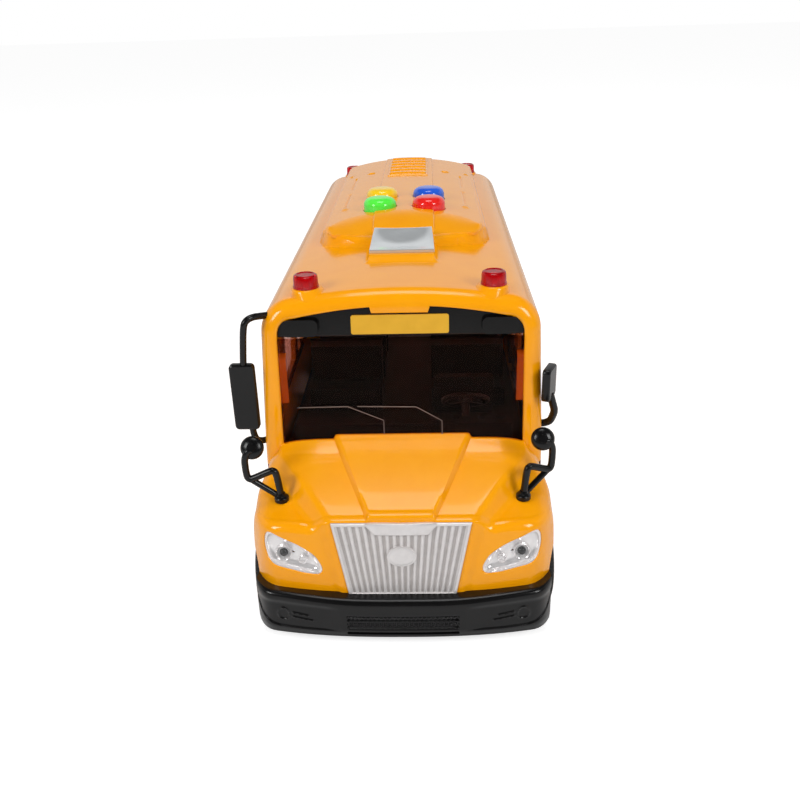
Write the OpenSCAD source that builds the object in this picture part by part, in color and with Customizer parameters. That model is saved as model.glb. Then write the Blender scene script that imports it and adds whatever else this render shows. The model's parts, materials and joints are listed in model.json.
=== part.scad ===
// Toy school bus with roof buttons, lights, sounds and rolling wheels. Millimetres, +Z up.
// The front faces -Y. Z = 0 is the ground, X = 0 the middle plane, Y = 0 the middle of the length.

/* [Body] */
// Length over both bumpers
bus_len = 298; // [260:1:340]
// Width of the cab at the belt line
body_w = 103; // [84:1:120]
// Height of the roof crown
roof_z = 114.5; // [100:0.5:130]
// Height of the lower edge of the sides
sill_z = 15; // [12:0.5:20]
// Height of the windshield base
belt_z = 58.5; // [50:0.5:66]
// Wall thickness of the shell
wall = 2; // [1.4:0.1:3]
// Thickness of the wall around the windshield
front_wall = 3; // [2:0.1:4]
// Windshield base behind the bumper face
nose_len = 44; // [36:0.5:52]
// Body set back from the rear bumper face
rear_gap = 4; // [2:0.5:8]
// Lean of each side inwards at the roof shoulder
tumble = 1.2; // [0:0.1:4]
// Radius of the roof shoulder
shoulder_r = 12; // [8:0.5:18]
// Fall of the roof from its middle to the shoulder
crown = 3.4; // [1:0.1:6]
// Rounding round the windshield frame
brow_r = 5; // [3:0.5:8]
// Rounding of the rear edges
rear_r = 8; // [4:0.5:12]
// Lean of the windshield in degrees
rake = 8.3; // [0:0.1:15]
// Clearance between fitted pieces
fit = 0.1; // [0.05:0.01:0.3]

/* [Hood] */
// Nose set back from the bumper face
nose_in = 6.5; // [4:0.5:10]
// Fall of the hood from the cowl to the nose
hood_drop = 11; // [6:0.5:16]
// Level strip of the hood in front of the windshield
cowl_len = 5; // [2:0.5:10]
// Half width of the hood at the nose
nose_half = 25; // [20:0.5:32]
// Fenders stand out from the cab by this much
flare = 2.3; // [0:0.1:4]
// Lean of the nose, depth per height
nose_lean = 0.13; // [0:0.01:0.3]
// Height of the lower yellow edge above the bumper
nose_z = 19; // [16:0.5:24]
// Half width of the raised hood panel at the cowl
panel_rear = 25.8; // [18:0.2:34]
// Half width of the raised hood panel at the nose
panel_front = 12; // [8:0.2:18]
// Rise of the hood panel at the cowl
panel_rise = 4.5; // [1:0.1:6]

/* [Windows] */
// Half width of the windshield opening
open_half = 44; // [38:0.5:46]
// Height of the header panel over the windshield
header_h = 10.9; // [8:0.1:14]
// Height of the brow over the opening
brow_h = 5.4; // [3:0.1:9]
// Half width of the tab of the brow
tab_half = 11.9; // [8:0.1:16]
// Sign plate width
sign_w = 34.8; // [24:0.2:44]
// Sign plate height
sign_h = 6.9; // [5:0.1:8]
// Number of side windows
win_n = 7; // [5:1:8]
// Width of the pillars between the side windows
pillar_w = 6.5; // [4:0.5:10]
// Distance from the roof shoulder to the side windows
win_drop = 8.3; // [5:0.1:14]
// Lower edge of the side windows
win_z = 65; // [60:0.5:70]
// Thickness of the window sheets
glass_t = 1.2; // [0.8:0.1:2]

/* [Front trim] */
// Half width of the grille at its foot
grille_foot = 18.5; // [14:0.5:22]
// Half width of the grille at its top
grille_top = 24; // [20:0.5:25]
// Height of the grille along its lean
grille_h = 27; // [22:0.5:28]
// Ribs on the grille
grille_ribs = 19; // [11:2:23]
// Top of the front bumper
bumper_z = 21; // [18:0.5:24]
// Lower edge of the bumpers
bumper_low = 4.3; // [3:0.1:7]
// Wall thickness of the front bumper
bumper_t = 3; // [2:0.1:4]
// Half width of the front bumper
bumper_half = 52; // [46:0.1:54]
// Depth of the recessed band of the bumper
bumper_step = 1.2; // [0.5:0.1:2]
// Diameter of the mirror rods
rod_d = 2.8; // [2:0.1:3.5]
// Width of the passenger mirror plate
mirror_w = 9.2; // [7:0.2:12]
// Height of the passenger mirror plate
mirror_h = 26; // [18:0.5:30]
// Thickness of both mirror plates
mirror_t = 3; // [2:0.1:4]
// Backward swing of the driver's cross-view mirror in degrees
mirror_swing = 29; // [0:1:40]

/* [Roof] */
// Distance of a roof lamp from the middle plane
lamp_x = 33.6; // [28:0.2:36]
// Roof lamp diameter
lamp_d = 9.3; // [7:0.1:12]
// Roof lamp height above its boss
lamp_h = 4.8; // [4:0.2:9]
// Drop of the rear roof lamps below the front ones
rear_lamp_drop = 1.9; // [0:0.1:3]
// Rise of the parting plane of the console over the roof
pod_rise = 3; // [1:0.5:5]
// Rise of the console top over its parting plane
console_rise = 5.8; // [3:0.1:7]
// Half width of the console at its foot
console_half = 33.5; // [28:0.5:36]
// Half width of the console top
console_top = 26; // [22:0.5:30]
// Half width of the middle strip of the console
strip_half = 13; // [10:0.5:16]
// Console foot behind the windshield base
console_y = 78; // [70:0.5:90]
// Gap between the console and the rear roof lamps
console_gap = 11; // [10:0.5:24]
// Length of the slope at the front of the console
slope_len = 15.5; // [12:0.5:24]
// Thickness of the console top
console_t = 1.8; // [1.4:0.1:2.4]
// Half width of the light tray
tray_half = 12.5; // [10:0.5:14]
// Length of the light tray
tray_len = 22; // [16:0.5:26]

/* [Buttons] */
// Button diameter
button_d = 14.4; // [10:0.2:16]
// Spacing of the buttons across
button_x = 21.6; // [18:0.2:26]
// Spacing of the buttons along
button_y = 20.5; // [18:0.2:26]
// Rise of the button domes over the console top
button_rise = 4.7; // [3:0.1:7]
// Travel of a button
button_travel = 1.5; // [0.8:0.1:2]
// Clearance round a button
button_gap = 0.2; // [0.1:0.05:0.4]

/* [Wheels] */
// Tyre diameter
wheel_d = 31; // [26:0.5:36]
// Tyre width
wheel_w = 10; // [7:0.5:13]
// Distance over the outer faces of the tyres
track = 108.6; // [96:0.2:112]
// Front axle ahead of the windshield base
axle_front = 11; // [11:0.5:14]
// Distance between the axles
wheelbase = 183; // [160:1:200]
// Axle diameter
axle_d = 3; // [2.5:0.1:4]
// Play between the axles and their bearings, on radius
axle_play = 0.08; // [0.02:0.01:0.1]
// Gap between a tyre and its arch
arch_gap = 1.5; // [1:0.1:3]

/* [Drive] */
// Gear module
gear_m = 0.6; // [0.5:0.05:0.7]
// Teeth on the axle gear
axle_teeth = 28; // [24:1:32]
// Teeth on both pinions
pinion_teeth = 10; // [10:1:12]
// Teeth on the idler wheel
idler_teeth = 30; // [26:1:32]
// Flywheel diameter
fly_d = 20; // [14:0.5:21]
// Diameter of the gear shafts
shaft_d = 2; // [1.5:0.1:2.5]

/* [Inside] */
// Height of the chassis underside
floor_z = 6.5; // [5:0.5:9]
// Thickness of the chassis floor
floor_t = 2; // [1.6:0.1:3]
// Top of the interior floor
deck_z = 42; // [38:0.5:46]
// Diameter of a battery
cell_d = 14.2; // [10:0.1:14.5]
// Length of a battery
cell_len = 50; // [44:0.5:50.5]
// Speaker diameter
speaker_d = 36; // [28:1:40]
// Screw shank diameter
screw_d = 2.6; // [2:0.1:3]

/* [Hidden] */
$fn = 32;
half_w = body_w / 2;
front_y = -bus_len / 2;
cowl_y = front_y + nose_len;
rear_y = bus_len / 2 - rear_gap;
shoulder_z = roof_z - crown - shoulder_r * sin(80);
shear = tan(rake);
open_h = (roof_z - belt_z) / cos(rake) - brow_h;
glass_h = open_h - header_h;
win_h = shoulder_z - win_drop - win_z;
win_pitch = (rear_y - cowl_y - 15.5) / win_n;
win_w = win_pitch - pillar_w;
rear_win_w = body_w - 30;
tail_x = half_w - 15;
tail_z = 40;
rear_win_z = win_z + win_h / 2 - 3;
boss_z = roof_z - 0.5;
pod_z = roof_z + pod_rise;
console_z = pod_z + console_rise;
button_z = console_z + button_rise;
wheel_r = wheel_d / 2;
front_axle_y = cowl_y - axle_front;
rear_axle_y = front_axle_y + wheelbase;
arch_r = wheel_r + arch_gap;
arch_in = track / 2 - wheel_w - 1.5;
sleeve_r = axle_d / 2 + 1.6;
nose_v = nose_len - nose_in;
floor_top = floor_z + floor_t;

// Rounded rectangle about the origin
function rrect(w, h, r) = [for (c = [[1, 1, 0], [-1, 1, 90], [-1, -1, 180], [1, -1, 270]])
  for (a = [0:22.5:90])
    [c[0] * (w / 2 - r) + r * cos(c[2] + a), c[1] * (h / 2 - r) + r * sin(c[2] + a)]];
function mix(a, b, t) = a + (b - a) * t;
function clamp(t) = max(0, min(1, t));
function smooth(t) = clamp(t) * clamp(t) * (3 - 2 * clamp(t));
function mirrored(p) = concat(p, [for (i = [len(p) - 1:-1:0]) [-p[i][0], p[i][1]]]);

// Cab: upright sides that lean in, round shoulders and a crowned roof
function side_half(z) = half_w - tumble * max(0, (z - belt_z) / (shoulder_z - belt_z));
function cab_section(s) = let(xs = half_w - tumble - shoulder_r, r = shoulder_r - s,
    xc = xs + r * cos(80), zc = shoulder_z + r * sin(80)) mirrored(concat(
  [[half_w - s, sill_z], [half_w - s, belt_z]],
  [for (a = [0:10:80]) [xs + r * cos(a), shoulder_z + r * sin(a)]],
  [for (k = [0.75, 0.5, 0.25]) [xc * k, mix(roof_z - s, zc, k * k)]]));
module cab_slice(y, s, lean)
  multmatrix([[1, 0, 0, 0], [0, 1, lean, y - lean * belt_z], [0, 0, 1, 0], [0, 0, 0, 1]])
    rotate([90, 0, 0])
      linear_extrude(0.02)
        polygon(cab_section(s));
module cab_form(s, y0, y1, rf)
  hull() {
    for (a = [0:22.5:90]) {
      cab_slice(y0 + 0.02 + rf * (1 - sin(a)), s + rf * (1 - cos(a)), shear);
      cab_slice(y1 - (rear_r - s) * (1 - sin(a)), s + (rear_r - s) * (1 - cos(a)), 0);
    }
  }

// Hood and fenders: a height over the place, v counted forwards from the windshield base
cols = [for (f = [1, 0.995, 0.98, 0.96, 0.93, 0.89, 0.84, 0.78, 0.72, 0.66, 0.6, 0.54, 0.48, 0.4,
  0.27, 0.14]) f];
fracs = concat([for (f = cols) -f], [0], [for (i = [len(cols) - 1:-1:0]) cols[i]]);
rows = 14;
function hood_z(v) = belt_z - hood_drop * max(0, v - cowl_len) / 28;
function fender_fall(v) = lookup(v, [[-5, 1.5], [0, 1.5], [5, 3], [17, 5], [27, 4], [33, 3.2], [45, 3.2]]);
function hood_half(v) = mix(half_w - 4, nose_half, clamp(v / 33));
function flank(v) = half_w + flare * smooth(v / 12);
function front_v(x) = nose_v - 2.5 * pow(max(0, (abs(x) - 22) / 24), 2)
  - 5 * pow(max(0, (abs(x) - 46) / 5.5), 3);
function top_z(x, f, v, d) = let(
    t = smooth((abs(x) - hood_half(v)) / 6),
    raw = hood_z(v) - fender_fall(v) * t - d)
  nose_z + (raw - nose_z) * max(0.03, pow(max(0, 1 - pow(abs(f), 8)), 1 / 8));
function edge_r(x) = mix(1.8, 4, smooth((abs(x) - nose_half + 1) / 6));
function front_pt(f, k, d) = let(
    x0 = f * (half_w + flare - d),
    v0 = front_v(x0) - d,
    v3 = v0 - nose_lean * 22,
    zt = top_z(x0, f, v3 - edge_r(x0), d),
    r = min(edge_r(x0), 0.4 * (zt - nose_z)),
    z2 = zt - r,
    v2 = v0 - nose_lean * (z2 - 20),
    s = (k - 4) / (rows - 4),
    v = k < 2 ? v0 - nose_lean * (mix(nose_z, z2, k / 2) - 20)
      : k <= 4 ? v2 - r * (1 - cos((k - 2) * 45)) : mix(v2 - r, -3, s),
    z = k < 2 ? mix(nose_z, z2, k / 2)
      : k <= 4 ? z2 + r * sin((k - 2) * 45) : top_z(f * (flank(v) - d), f, v, d))
  [f * (flank(v) - d), cowl_y - v, z];
module front_form(d, low, step) {
  fr = [for (i = [0:step:len(fracs) - 1]) fracs[i]];
  n = len(fr);
  m = rows + 1;
  up = [for (k = [0:rows]) for (f = fr) front_pt(f, k, d)];
  down = [for (p = up) [p[0], p[1], low]];
  total = n * m;
  polyhedron(points = concat(up, down), faces = concat(
    [for (k = [0:rows - 1]) for (i = [0:n - 2]) for (t = [0, 1])
      t == 0 ? [k * n + i, (k + 1) * n + i, (k + 1) * n + i + 1]
        : [k * n + i, (k + 1) * n + i + 1, k * n + i + 1]],
    [for (k = [0:rows - 1]) for (i = [0:n - 2]) for (t = [0, 1])
      t == 0 ? [total + k * n + i, total + (k + 1) * n + i + 1, total + (k + 1) * n + i]
        : [total + k * n + i, total + k * n + i + 1, total + (k + 1) * n + i + 1]],
    [for (i = [0:n - 2]) for (t = [0, 1])
      t == 0 ? [i, i + 1, total + i + 1] : [i, total + i + 1, total + i]],
    [for (i = [0:n - 2]) let(b = rows * n + i) for (t = [0, 1])
      t == 0 ? [b, total + b, total + b + 1] : [b, total + b + 1, b + 1]],
    [for (k = [0:rows - 1]) let(b = k * n) for (t = [0, 1])
      t == 0 ? [b, total + b, total + b + n] : [b, total + b + n, b + n]],
    [for (k = [0:rows - 1]) let(b = k * n + n - 1) for (t = [0, 1])
      t == 0 ? [b, b + n, total + b + n] : [b, total + b + n, total + b]]));
}
module hood_panel()
  hull() {
    for (e = [[panel_rear, -1, belt_z + panel_rise], [panel_front, nose_v - 4, hood_z(33) + 1.6]]) {
      translate([-e[0], cowl_y - e[1], e[2] - 0.6])
        cube([2 * e[0], 0.1, 0.6]);
      translate([-e[0] - 1.2, cowl_y - e[1], e[2] - 8])
        cube([2 * e[0] + 2.4, 0.1, 2]);
    }
  }

// Windshield opening, in the plane of the windshield
module screen()
  translate([0, cowl_y, belt_z])
    rotate([-rake, 0, 0])
      children();
function arch_top(x) = open_h - 0.0028 * x * x;
corner_h = open_h - 10.2;
function opening(g) = mirrored(concat(
  [[open_half + g, -g], [open_half + g, corner_h - 11]],
  [for (a = [0:15:75]) [open_half - 6 + (6 + g) * cos(a),
    corner_h + (arch_top(open_half - 6) - corner_h + g) * sin(a)]],
  [for (k = [1:-0.25:0]) let(x = k * (open_half - 6)) [x, arch_top(x) + g]]));
module screen_plate(d0, d1)
  screen()
    translate([0, d1, 0])
      rotate([90, 0, 0])
        linear_extrude(d1 - d0)
          children();
module tab(g)
  polygon([[-tab_half - g, open_h + 6], [tab_half + g, open_h + 6], [tab_half - 2 + g, open_h - 2.5 - g],
    [2 - tab_half - g, open_h - 2.5 - g]]);

// Console foot and the raised base under it
function pod_outline(w, y0, y1, r) = concat(
  [for (a = [180:15:270]) [-w + r + r * cos(a), y0 + r + r * sin(a)]],
  [for (a = [270:15:360]) [w - r + r * cos(a), y0 + r + r * sin(a)]],
  [for (a = [0:30:90]) [w - 6 + 6 * cos(a), y1 - 6 + 6 * sin(a)]],
  [for (a = [90:30:180]) [-w + 6 + 6 * cos(a), y1 - 6 + 6 * sin(a)]]);
pod_y = cowl_y + console_y;
rear_lamp_y = rear_y - 7;
pod_end = rear_lamp_y - console_gap;
console_len = pod_end - pod_y;
module pod_slab(w, y0, y1, r, z)
  translate([0, 0, z - 0.1])
    linear_extrude(0.1)
      polygon(pod_outline(w, y0, y1, r));
tray_y = cowl_y + 51;
tray_z = roof_z + 3;
deck_hole = console_top - 1;
front_lamp_y = cowl_y + 16;
rear_boss_z = boss_z - rear_lamp_drop;
lamp_places = [[1, front_lamp_y, boss_z], [-1, front_lamp_y, boss_z], [1, rear_lamp_y, rear_boss_z],
  [-1, rear_lamp_y, rear_boss_z]];
post_places = [[-1, cowl_y + 14], [1, cowl_y + 14], [-1, rear_y - 15], [1, rear_y - 15]];
post_x = half_w - 10;
console_screw_places = [for (sx = [-1, 1]) for (y = [pod_y + 40, pod_end - 22]) [sx * 29, y]];
hole_y0 = pod_y + slope_len - 4;
hole_y1 = pod_end - 8;

// Headlights: an outline in front view laid on the nose
lamp_outline = [[47.4, 40.5], [45.4, 41.6], [40.7, 39.8], [35.4, 37.6], [30.5, 34.4], [28.2, 31.2],
  [27.4, 28.6], [28.6, 26.7], [33.2, 26.8], [38.9, 27.9], [44.4, 29], [46.8, 30.8], [48.1, 34.6],
  [48.2, 38]];
lamp_mid = [39.5, 33.6];
function grown(p, g) = [for (q = p) let(d = q - lamp_mid) q + d * g / norm(d)];
function nose_y(x, z) = cowl_y - front_v(x) + nose_lean * (z - 20);
module front_stack(rings) {
  n = len(lamp_outline);
  m = len(rings);
  c = [lamp_mid[0], nose_y(lamp_mid[0], lamp_mid[1]), lamp_mid[1]];
  polyhedron(points = concat(
    [for (r = rings) for (q = grown(lamp_outline, r[0])) [q[0], nose_y(q[0], q[1]) + r[1], q[1]]],
    [c + [0, rings[0][1], 0], c + [0, rings[m - 1][1], 0]]), faces = concat(
    [for (i = [0:n - 1]) [m * n, i, (i + 1) % n]],
    [for (i = [0:n - 1]) [m * n + 1, (m - 1) * n + (i + 1) % n, (m - 1) * n + i]],
    [for (k = [0:m - 2]) for (i = [0:n - 1]) [k * n + i, (k + 1) * n + i, (k + 1) * n + (i + 1) % n]],
    [for (k = [0:m - 2]) for (i = [0:n - 1]) [k * n + i, (k + 1) * n + (i + 1) % n, k * n + (i + 1) % n]]));
}
module both_sides()
  for (m = [0, 1])
    mirror([m, 0, 0])
      children();

module body_shell()
  color("orange")
    difference() {
      union() {
        difference() {
          union() {
            cab_form(0, cowl_y, rear_y, brow_r);
            front_form(0, nose_z, 1);
            hood_panel();
            hull() {
              pod_slab(console_half + 3, pod_y - 12, pod_end + 4, 20, roof_z - 4);
              pod_slab(console_half + 0.6, pod_y, pod_end + 1, 8, pod_z);
            }
            hull()
              for (e = [[tray_half + 1, cowl_y + 43.5, roof_z], [tray_half + 0.6, tray_y - 2, tray_z - 1]])
                translate([-e[0], e[1], roof_z - 3])
                  cube([2 * e[0], pod_y + 8 - e[1], e[2] - roof_z + 3]);
            for (p = lamp_places)
              hull() {
                translate([p[0] * lamp_x, p[1], p[2] - 0.5])
                  cylinder(d = lamp_d + 1.6, h = 0.5);
                translate([p[0] * (lamp_x - 2), p[1], p[2] - 5])
                  cylinder(d = lamp_d + 6, h = 1);
              }
          }
          difference() {
            translate([0, 0, -0.01])
              cab_form(wall, cowl_y + front_wall, rear_y - wall, 1);
            translate([-body_w, cowl_y - 20, 0])
              cube([2 * body_w, 20 + front_wall, belt_z]);
          }
          translate([-arch_in, cowl_y - 20, 0])
            cube([2 * arch_in, 20.5 + front_wall, nose_z - 0.5]);
          translate([-half_w + wall, cowl_y + front_wall + 2, 0])
            cube([body_w - 2 * wall, rear_y - cowl_y - front_wall - wall - 10, sill_z + 1]);
          difference() {
            front_form(wall, nose_z - 1, 4);
            translate([-grille_top - 3, front_y, 0])
              cube([2 * grille_top + 6, nose_in + 8, belt_z]);
          }
          screen_plate(-brow_r, front_wall + 3)
            difference() {
              polygon(opening(0));
              tab(0);
            }
          for (i = [0:win_n - 1])
            translate([-body_w, cowl_y + 8 + win_w / 2 + i * win_pitch, win_z + win_h / 2])
              rotate([90, 0, 90])
                linear_extrude(2 * body_w)
                  polygon(rrect(win_w, win_h, 3));
          translate([0, rear_y + 1, rear_win_z])
            rotate([90, 0, 0])
              linear_extrude(wall + 4)
                polygon(rrect(rear_win_w, win_h + 4, 4));
          for (y = [front_axle_y, rear_axle_y])
            for (sx = [-1, 1])
              translate([sx > 0 ? arch_in : -70, y, wheel_r])
                rotate([0, 90, 0])
                  cylinder(r = arch_r, h = 70 - arch_in);
          hull() {
            pod_slab(deck_hole, hole_y0, hole_y1, 6, roof_z - 8);
            pod_slab(deck_hole, hole_y0, hole_y1, 6, pod_z + 1);
          }
          both_sides()
            translate([0, cowl_y - 20, 0])
              rotate([90, 0, 0])
                linear_extrude(40)
                  polygon(grown(lamp_outline, 0.2));
          for (sx = [-1, 1])
            translate([sx * tail_x, rear_y + 1, tail_z])
              rotate([90, 0, 0])
                cylinder(d = 9.4, h = wall + 6);
          for (p = lamp_places)
            translate([p[0] * lamp_x, p[1], roof_z - 12])
              cylinder(d = lamp_d - 2.6, h = 14);
          for (p = lamp_places)
            translate([p[0] * lamp_x, p[1], p[2] + fit / 2])
              cylinder(d = lamp_d + 6 * fit, h = lamp_h);
          grille_space()
            translate([0, 0, -0.01])
              linear_extrude(3)
                grille_outline(0.15);
          translate([0, cowl_y + 62, roof_z - 6])
            cylinder(d = 6.4, h = 12);
        }
        intersection() {
          cab_form(0, cowl_y, rear_y, brow_r);
          for (p = post_places)
            translate([p[0] * post_x, p[1], floor_z + pad_t + 1.4 + fit])
              cylinder(d = 8, h = deck_z - 2 - floor_z - pad_t - 1.4 - 2 * fit);
        }
        intersection() {
          cab_form(0, cowl_y, rear_y, brow_r);
          for (p = post_places)
            translate([p[0] * (post_x + 5) - 5, p[1] - 1, sill_z + 10])
              cube([10, 2, deck_z - sill_z - 12]);
        }
      }
      for (p = post_places)
        translate([p[0] * post_x, p[1], floor_z])
          cylinder(d = screw_d + 0.06, h = 18);
      for (p = console_screw_places)
        translate([p[0], p[1], roof_z - 10])
          cylinder(d = screw_d + 0.4, h = 20);
      for (p = console_screw_places)
        translate([p[0], p[1], roof_z - 14])
          cylinder(d = 2 * screw_d + 1, h = 14 + pod_z - roof_z - 2);
      both_sides()
        mirror_sockets();
      rod([tall_bends[0], tall_ends[0]], rod_d + 0.06);
      rod([tall_bends[1], tall_ends[1] + [0.1, 0.05, 0]], rod_d + 0.06);
      rod([short_bend, short_end - [0.1, 0, 0]], rod_d + 0.06);
    }

module header_panel()
  color([0.08, 0.08, 0.09]) {
    screen_plate(1.8, front_wall + fit + 1.5)
      difference() {
        polygon(opening(-0.15));
        tab(0.15);
        translate([-body_w, -10])
          square([2 * body_w, glass_h + 10.1]);
      }
    screen_plate(front_wall + fit, front_wall + fit + 1.5)
      difference() {
        polygon(opening(1));
        translate([-body_w, -10])
          square([2 * body_w, glass_h + 10.1]);
      }
    for (sx = [-1, 1])
      screen_plate(-1.2, 2)
        translate([sx * 35.6, glass_h + 3.6])
          polygon(rrect(13, 6, 2));
  }

module sign_plate()
  color([1, 0.8, 0.2])
    screen_plate(0.9, 1.75)
      translate([0, glass_h + 0.8 + sign_h / 2])
        polygon(rrect(sign_w, sign_h, 0.8));

wiper_lines = [[[-38, 14.6], [-19.6, 14.8], [-6.6, 9.4], [-6.6, 5.4]], [[-16, 14.8], [5.3, 14.4], [14.6, 9],
  [14.6, 5]]];
module windshield()
  color([0.2, 0.16, 0.15, 0.5]) {
    screen_plate(0.9, front_wall + fit + 1.2)
      difference() {
        polygon(opening(-0.15));
        translate([-body_w, glass_h])
          square([2 * body_w, 40]);
      }
    screen_plate(front_wall + fit, front_wall + fit + 1.2)
      difference() {
        polygon(opening(1));
        translate([-body_w, glass_h])
          square([2 * body_w, 40]);
        translate([-body_w, -12])
          square([2 * body_w, 12]);
      }
    for (w = wiper_lines)
      screen_plate(0.5, 1)
        polygon(concat(w, [for (i = [len(w) - 1:-1:0]) w[i] + [i < 2 ? 0 : -1, i < 2 ? -1.1 : 0]]));
  }

// Flat window sheets behind the side walls
module side_glass(sx)
  color([0.15, 0.15, 0.17, 0.6])
    difference() {
      translate([0, cowl_y + 5 + win_pitch * win_n - 2, 0])
        rotate([90, 0, 0])
          linear_extrude(win_pitch * win_n - 2)
            polygon([for (q = [[fit, win_z - 3], [fit, win_z + win_h + 3],
                [fit + glass_t, win_z + win_h + 3],
              [fit + glass_t, win_z - 3]]) [sx * (side_half(q[1]) - wall - q[0]), q[1]]]);
      multmatrix([[1, 0, 0, 0], [0, 1, shear, cowl_y - shear * belt_z], [0, 0, 1, 0], [0, 0, 0, 1]])
        translate([-body_w, -40, 0])
          cube([2 * body_w, 40 + front_wall + 1 + fit, roof_z]);
    }
module side_glass_left()
  side_glass(1);
module side_glass_right()
  side_glass(-1);
module rear_glass()
  color([0.15, 0.15, 0.17, 0.6])
    translate([0, rear_y - wall - fit, rear_win_z])
      rotate([90, 0, 0])
        linear_extrude(glass_t)
          polygon(rrect(rear_win_w + 5, win_h + 9, 5));

// Grille on the nose, built flat and leant back with it
module grille_space()
  translate([0, cowl_y - nose_v, 20])
    rotate([90 - atan(nose_lean), 0, 0])
      translate([0, 0, -1.5])
        children();
module grille_outline(g)
  polygon([[-grille_foot - g, -1 - g], [grille_foot + g, -1 - g], [grille_top + g, grille_h + g],
    [-grille_top - g, grille_h + g]]);
module grille()
  color([0.75, 0.75, 0.78])
    grille_space() {
      linear_extrude(1.5)
        grille_outline(0);
      difference() {
        linear_extrude(3)
          grille_outline(0);
        translate([0, 0, 1])
          linear_extrude(3)
            grille_outline(-1.3);
      }
      for (i = [-(grille_ribs - 1) / 2:(grille_ribs - 1) / 2])
        linear_extrude(2.6)
          let(b = i * 2 * (grille_foot - 1) / grille_ribs, t = i * 2 * (grille_top - 1) / grille_ribs)
            polygon([[b - 0.4, -0.5], [b + 0.4, -0.5], [t + 0.5, grille_h - 0.5],
              [t - 0.5, grille_h - 0.5]]);
      translate([0, 14.5, 0])
        scale([1.4, 1, 1])
          cylinder(r = 3.7, h = 3.4);
      linear_extrude(3.6)
        polygon([[-9.6, grille_h - 4], [9.6, grille_h - 4], [11.5, grille_h], [-11.5, grille_h]]);
    }

module headlight_reflector()
  color([0.85, 0.85, 0.88])
    difference() {
      front_stack([[0, 0.8], [0, 4.4]]);
      for (b = [[41.3, 33.2, 5.4], [34.5, 31.2, 2.6]])
        translate([b[0], nose_y(b[0], b[1]) + 3.4, b[1]])
          rotate([90, 0, 0])
            cylinder(d = b[2], h = 5);
    }
module headlight_reflector_left()
  headlight_reflector();
module headlight_reflector_right()
  mirror([1, 0, 0])
    headlight_reflector();
module headlight_lens()
  color([0.9, 0.92, 0.95, 0.4])
    front_stack([[-0.5, -0.5], [0, 0], [0, 0.7]]);
module headlight_lens_left()
  headlight_lens();
module headlight_lens_right()
  mirror([1, 0, 0])
    headlight_lens();

// Front bumper: a bowed bar in plan with a recessed band, cut to its height in front view
function bow(x) = front_y + 2.7 * pow(abs(x) / 40, 2.5) + 4 * pow(max(0, (abs(x) - 44) / 7.3), 3);
bow_x = [for (i = [-16:16]) sign(i) * bumper_half * pow(abs(i) / 16, 0.7)];
module bumper_bar(z0, z1, inset)
  translate([0, 0, z0])
    linear_extrude(z1 - z0)
      polygon(concat([for (x = bow_x) [x * (1 - inset / bumper_half), bow(x) + inset]],
        [for (i = [len(bow_x) - 1:-1:0]) [bow_x[i] * (1 - bumper_t / bumper_half),
          bow(bow_x[i]) + bumper_t + 0.6]]));
module front_bumper()
  color([0.1, 0.1, 0.11])
    difference() {
      union() {
        bumper_bar(bumper_low, bumper_low + 3.4, 0.4);
        bumper_bar(bumper_low + 3, 16, bumper_step);
        bumper_bar(15.6, bumper_z, 0);
        for (sx = [-1, 1])
          translate([sx * 41.7, bow(41.7) + 2.4, 12.2])
            rotate([90, 0, 0])
              difference() {
                cylinder(d = 5.4, h = 2.2);
                translate([0, 0, 1.2])
                  cylinder(d = 3.8, h = 2);
              }
        translate([1 - tongue_half, front_y + bumper_t, floor_z + pad_t + fit])
          cube([2 * tongue_half - 2, tongue_y + 7 - front_y - bumper_t, 3]);
      }
      for (r = [0:2])
        for (i = [0:11])
          translate([-17.6 + 3.2 * i - (r == 1 ? 0 : 1.6), front_y - 1, 9.4 + 2 * r])
            cube([1.9, 2.6 + bumper_step, 1.1]);
      for (z = [11, 13.2])
        for (sx = [-1, 1])
          translate([sx * 33 - 4, bow(33) - 1, z])
            cube([8, 2.6 + bumper_step, 0.8]);
      for (p = bumper_screws)
        translate([p[0], p[1], 0])
          cylinder(d = screw_d + 0.06, h = 30);
      translate([0, 0, nose_z - fit])
        linear_extrude(10)
          nose_plan(fit + 0.2);
      for (sx = [-1, 1])
        translate([sx > 0 ? arch_in : -70, front_axle_y, wheel_r])
          rotate([0, 90, 0])
            cylinder(r = wheel_r + 0.9, h = 70 - arch_in);
    }
// Plan of the nose, grown forwards
module nose_plan(g)
  polygon(concat([for (k = bow_x) let(x = k * (half_w + flare + 0.4) / bumper_half)
    [x, cowl_y - front_v(x) - g - nose_lean]],
    [[half_w + flare + 0.4, cowl_y], [-half_w - flare - 0.4, cowl_y]]));
tongue_half = 31;
tongue_y = front_y + bumper_t + 3.4;
bumper_screws = [[-22, tongue_y + 3.6], [22, tongue_y + 3.6]];

module rear_bumper()
  color([0.1, 0.1, 0.11])
    difference() {
      translate([0, rear_y + fit, bumper_low + 7])
        linear_extrude(10)
          polygon([[4 - half_w, 0], [half_w - 4, 0], [half_w - 2, rear_gap - 2.2],
            [half_w - 4, rear_gap - fit],
            [4 - half_w, rear_gap - fit], [2 - half_w, rear_gap - 2.2]]);
      for (sx = [-1, 1])
        translate([sx * 20, rear_y - 1, bumper_low + 12])
          rotate([-90, 0, 0])
            cylinder(d = 3, h = 3);
    }
module tail_lamps()
  color([0.7, 0.05, 0.05])
    for (sx = [-1, 1])
      translate([sx * tail_x, rear_y, tail_z])
        rotate([-90, 0, 0]) {
          translate([0, 0, fit])
            cylinder(d = 12, h = 1.6);
          translate([0, 0, -wall - 1])
            cylinder(d = 9.2, h = wall + 1.6);
        }

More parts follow.
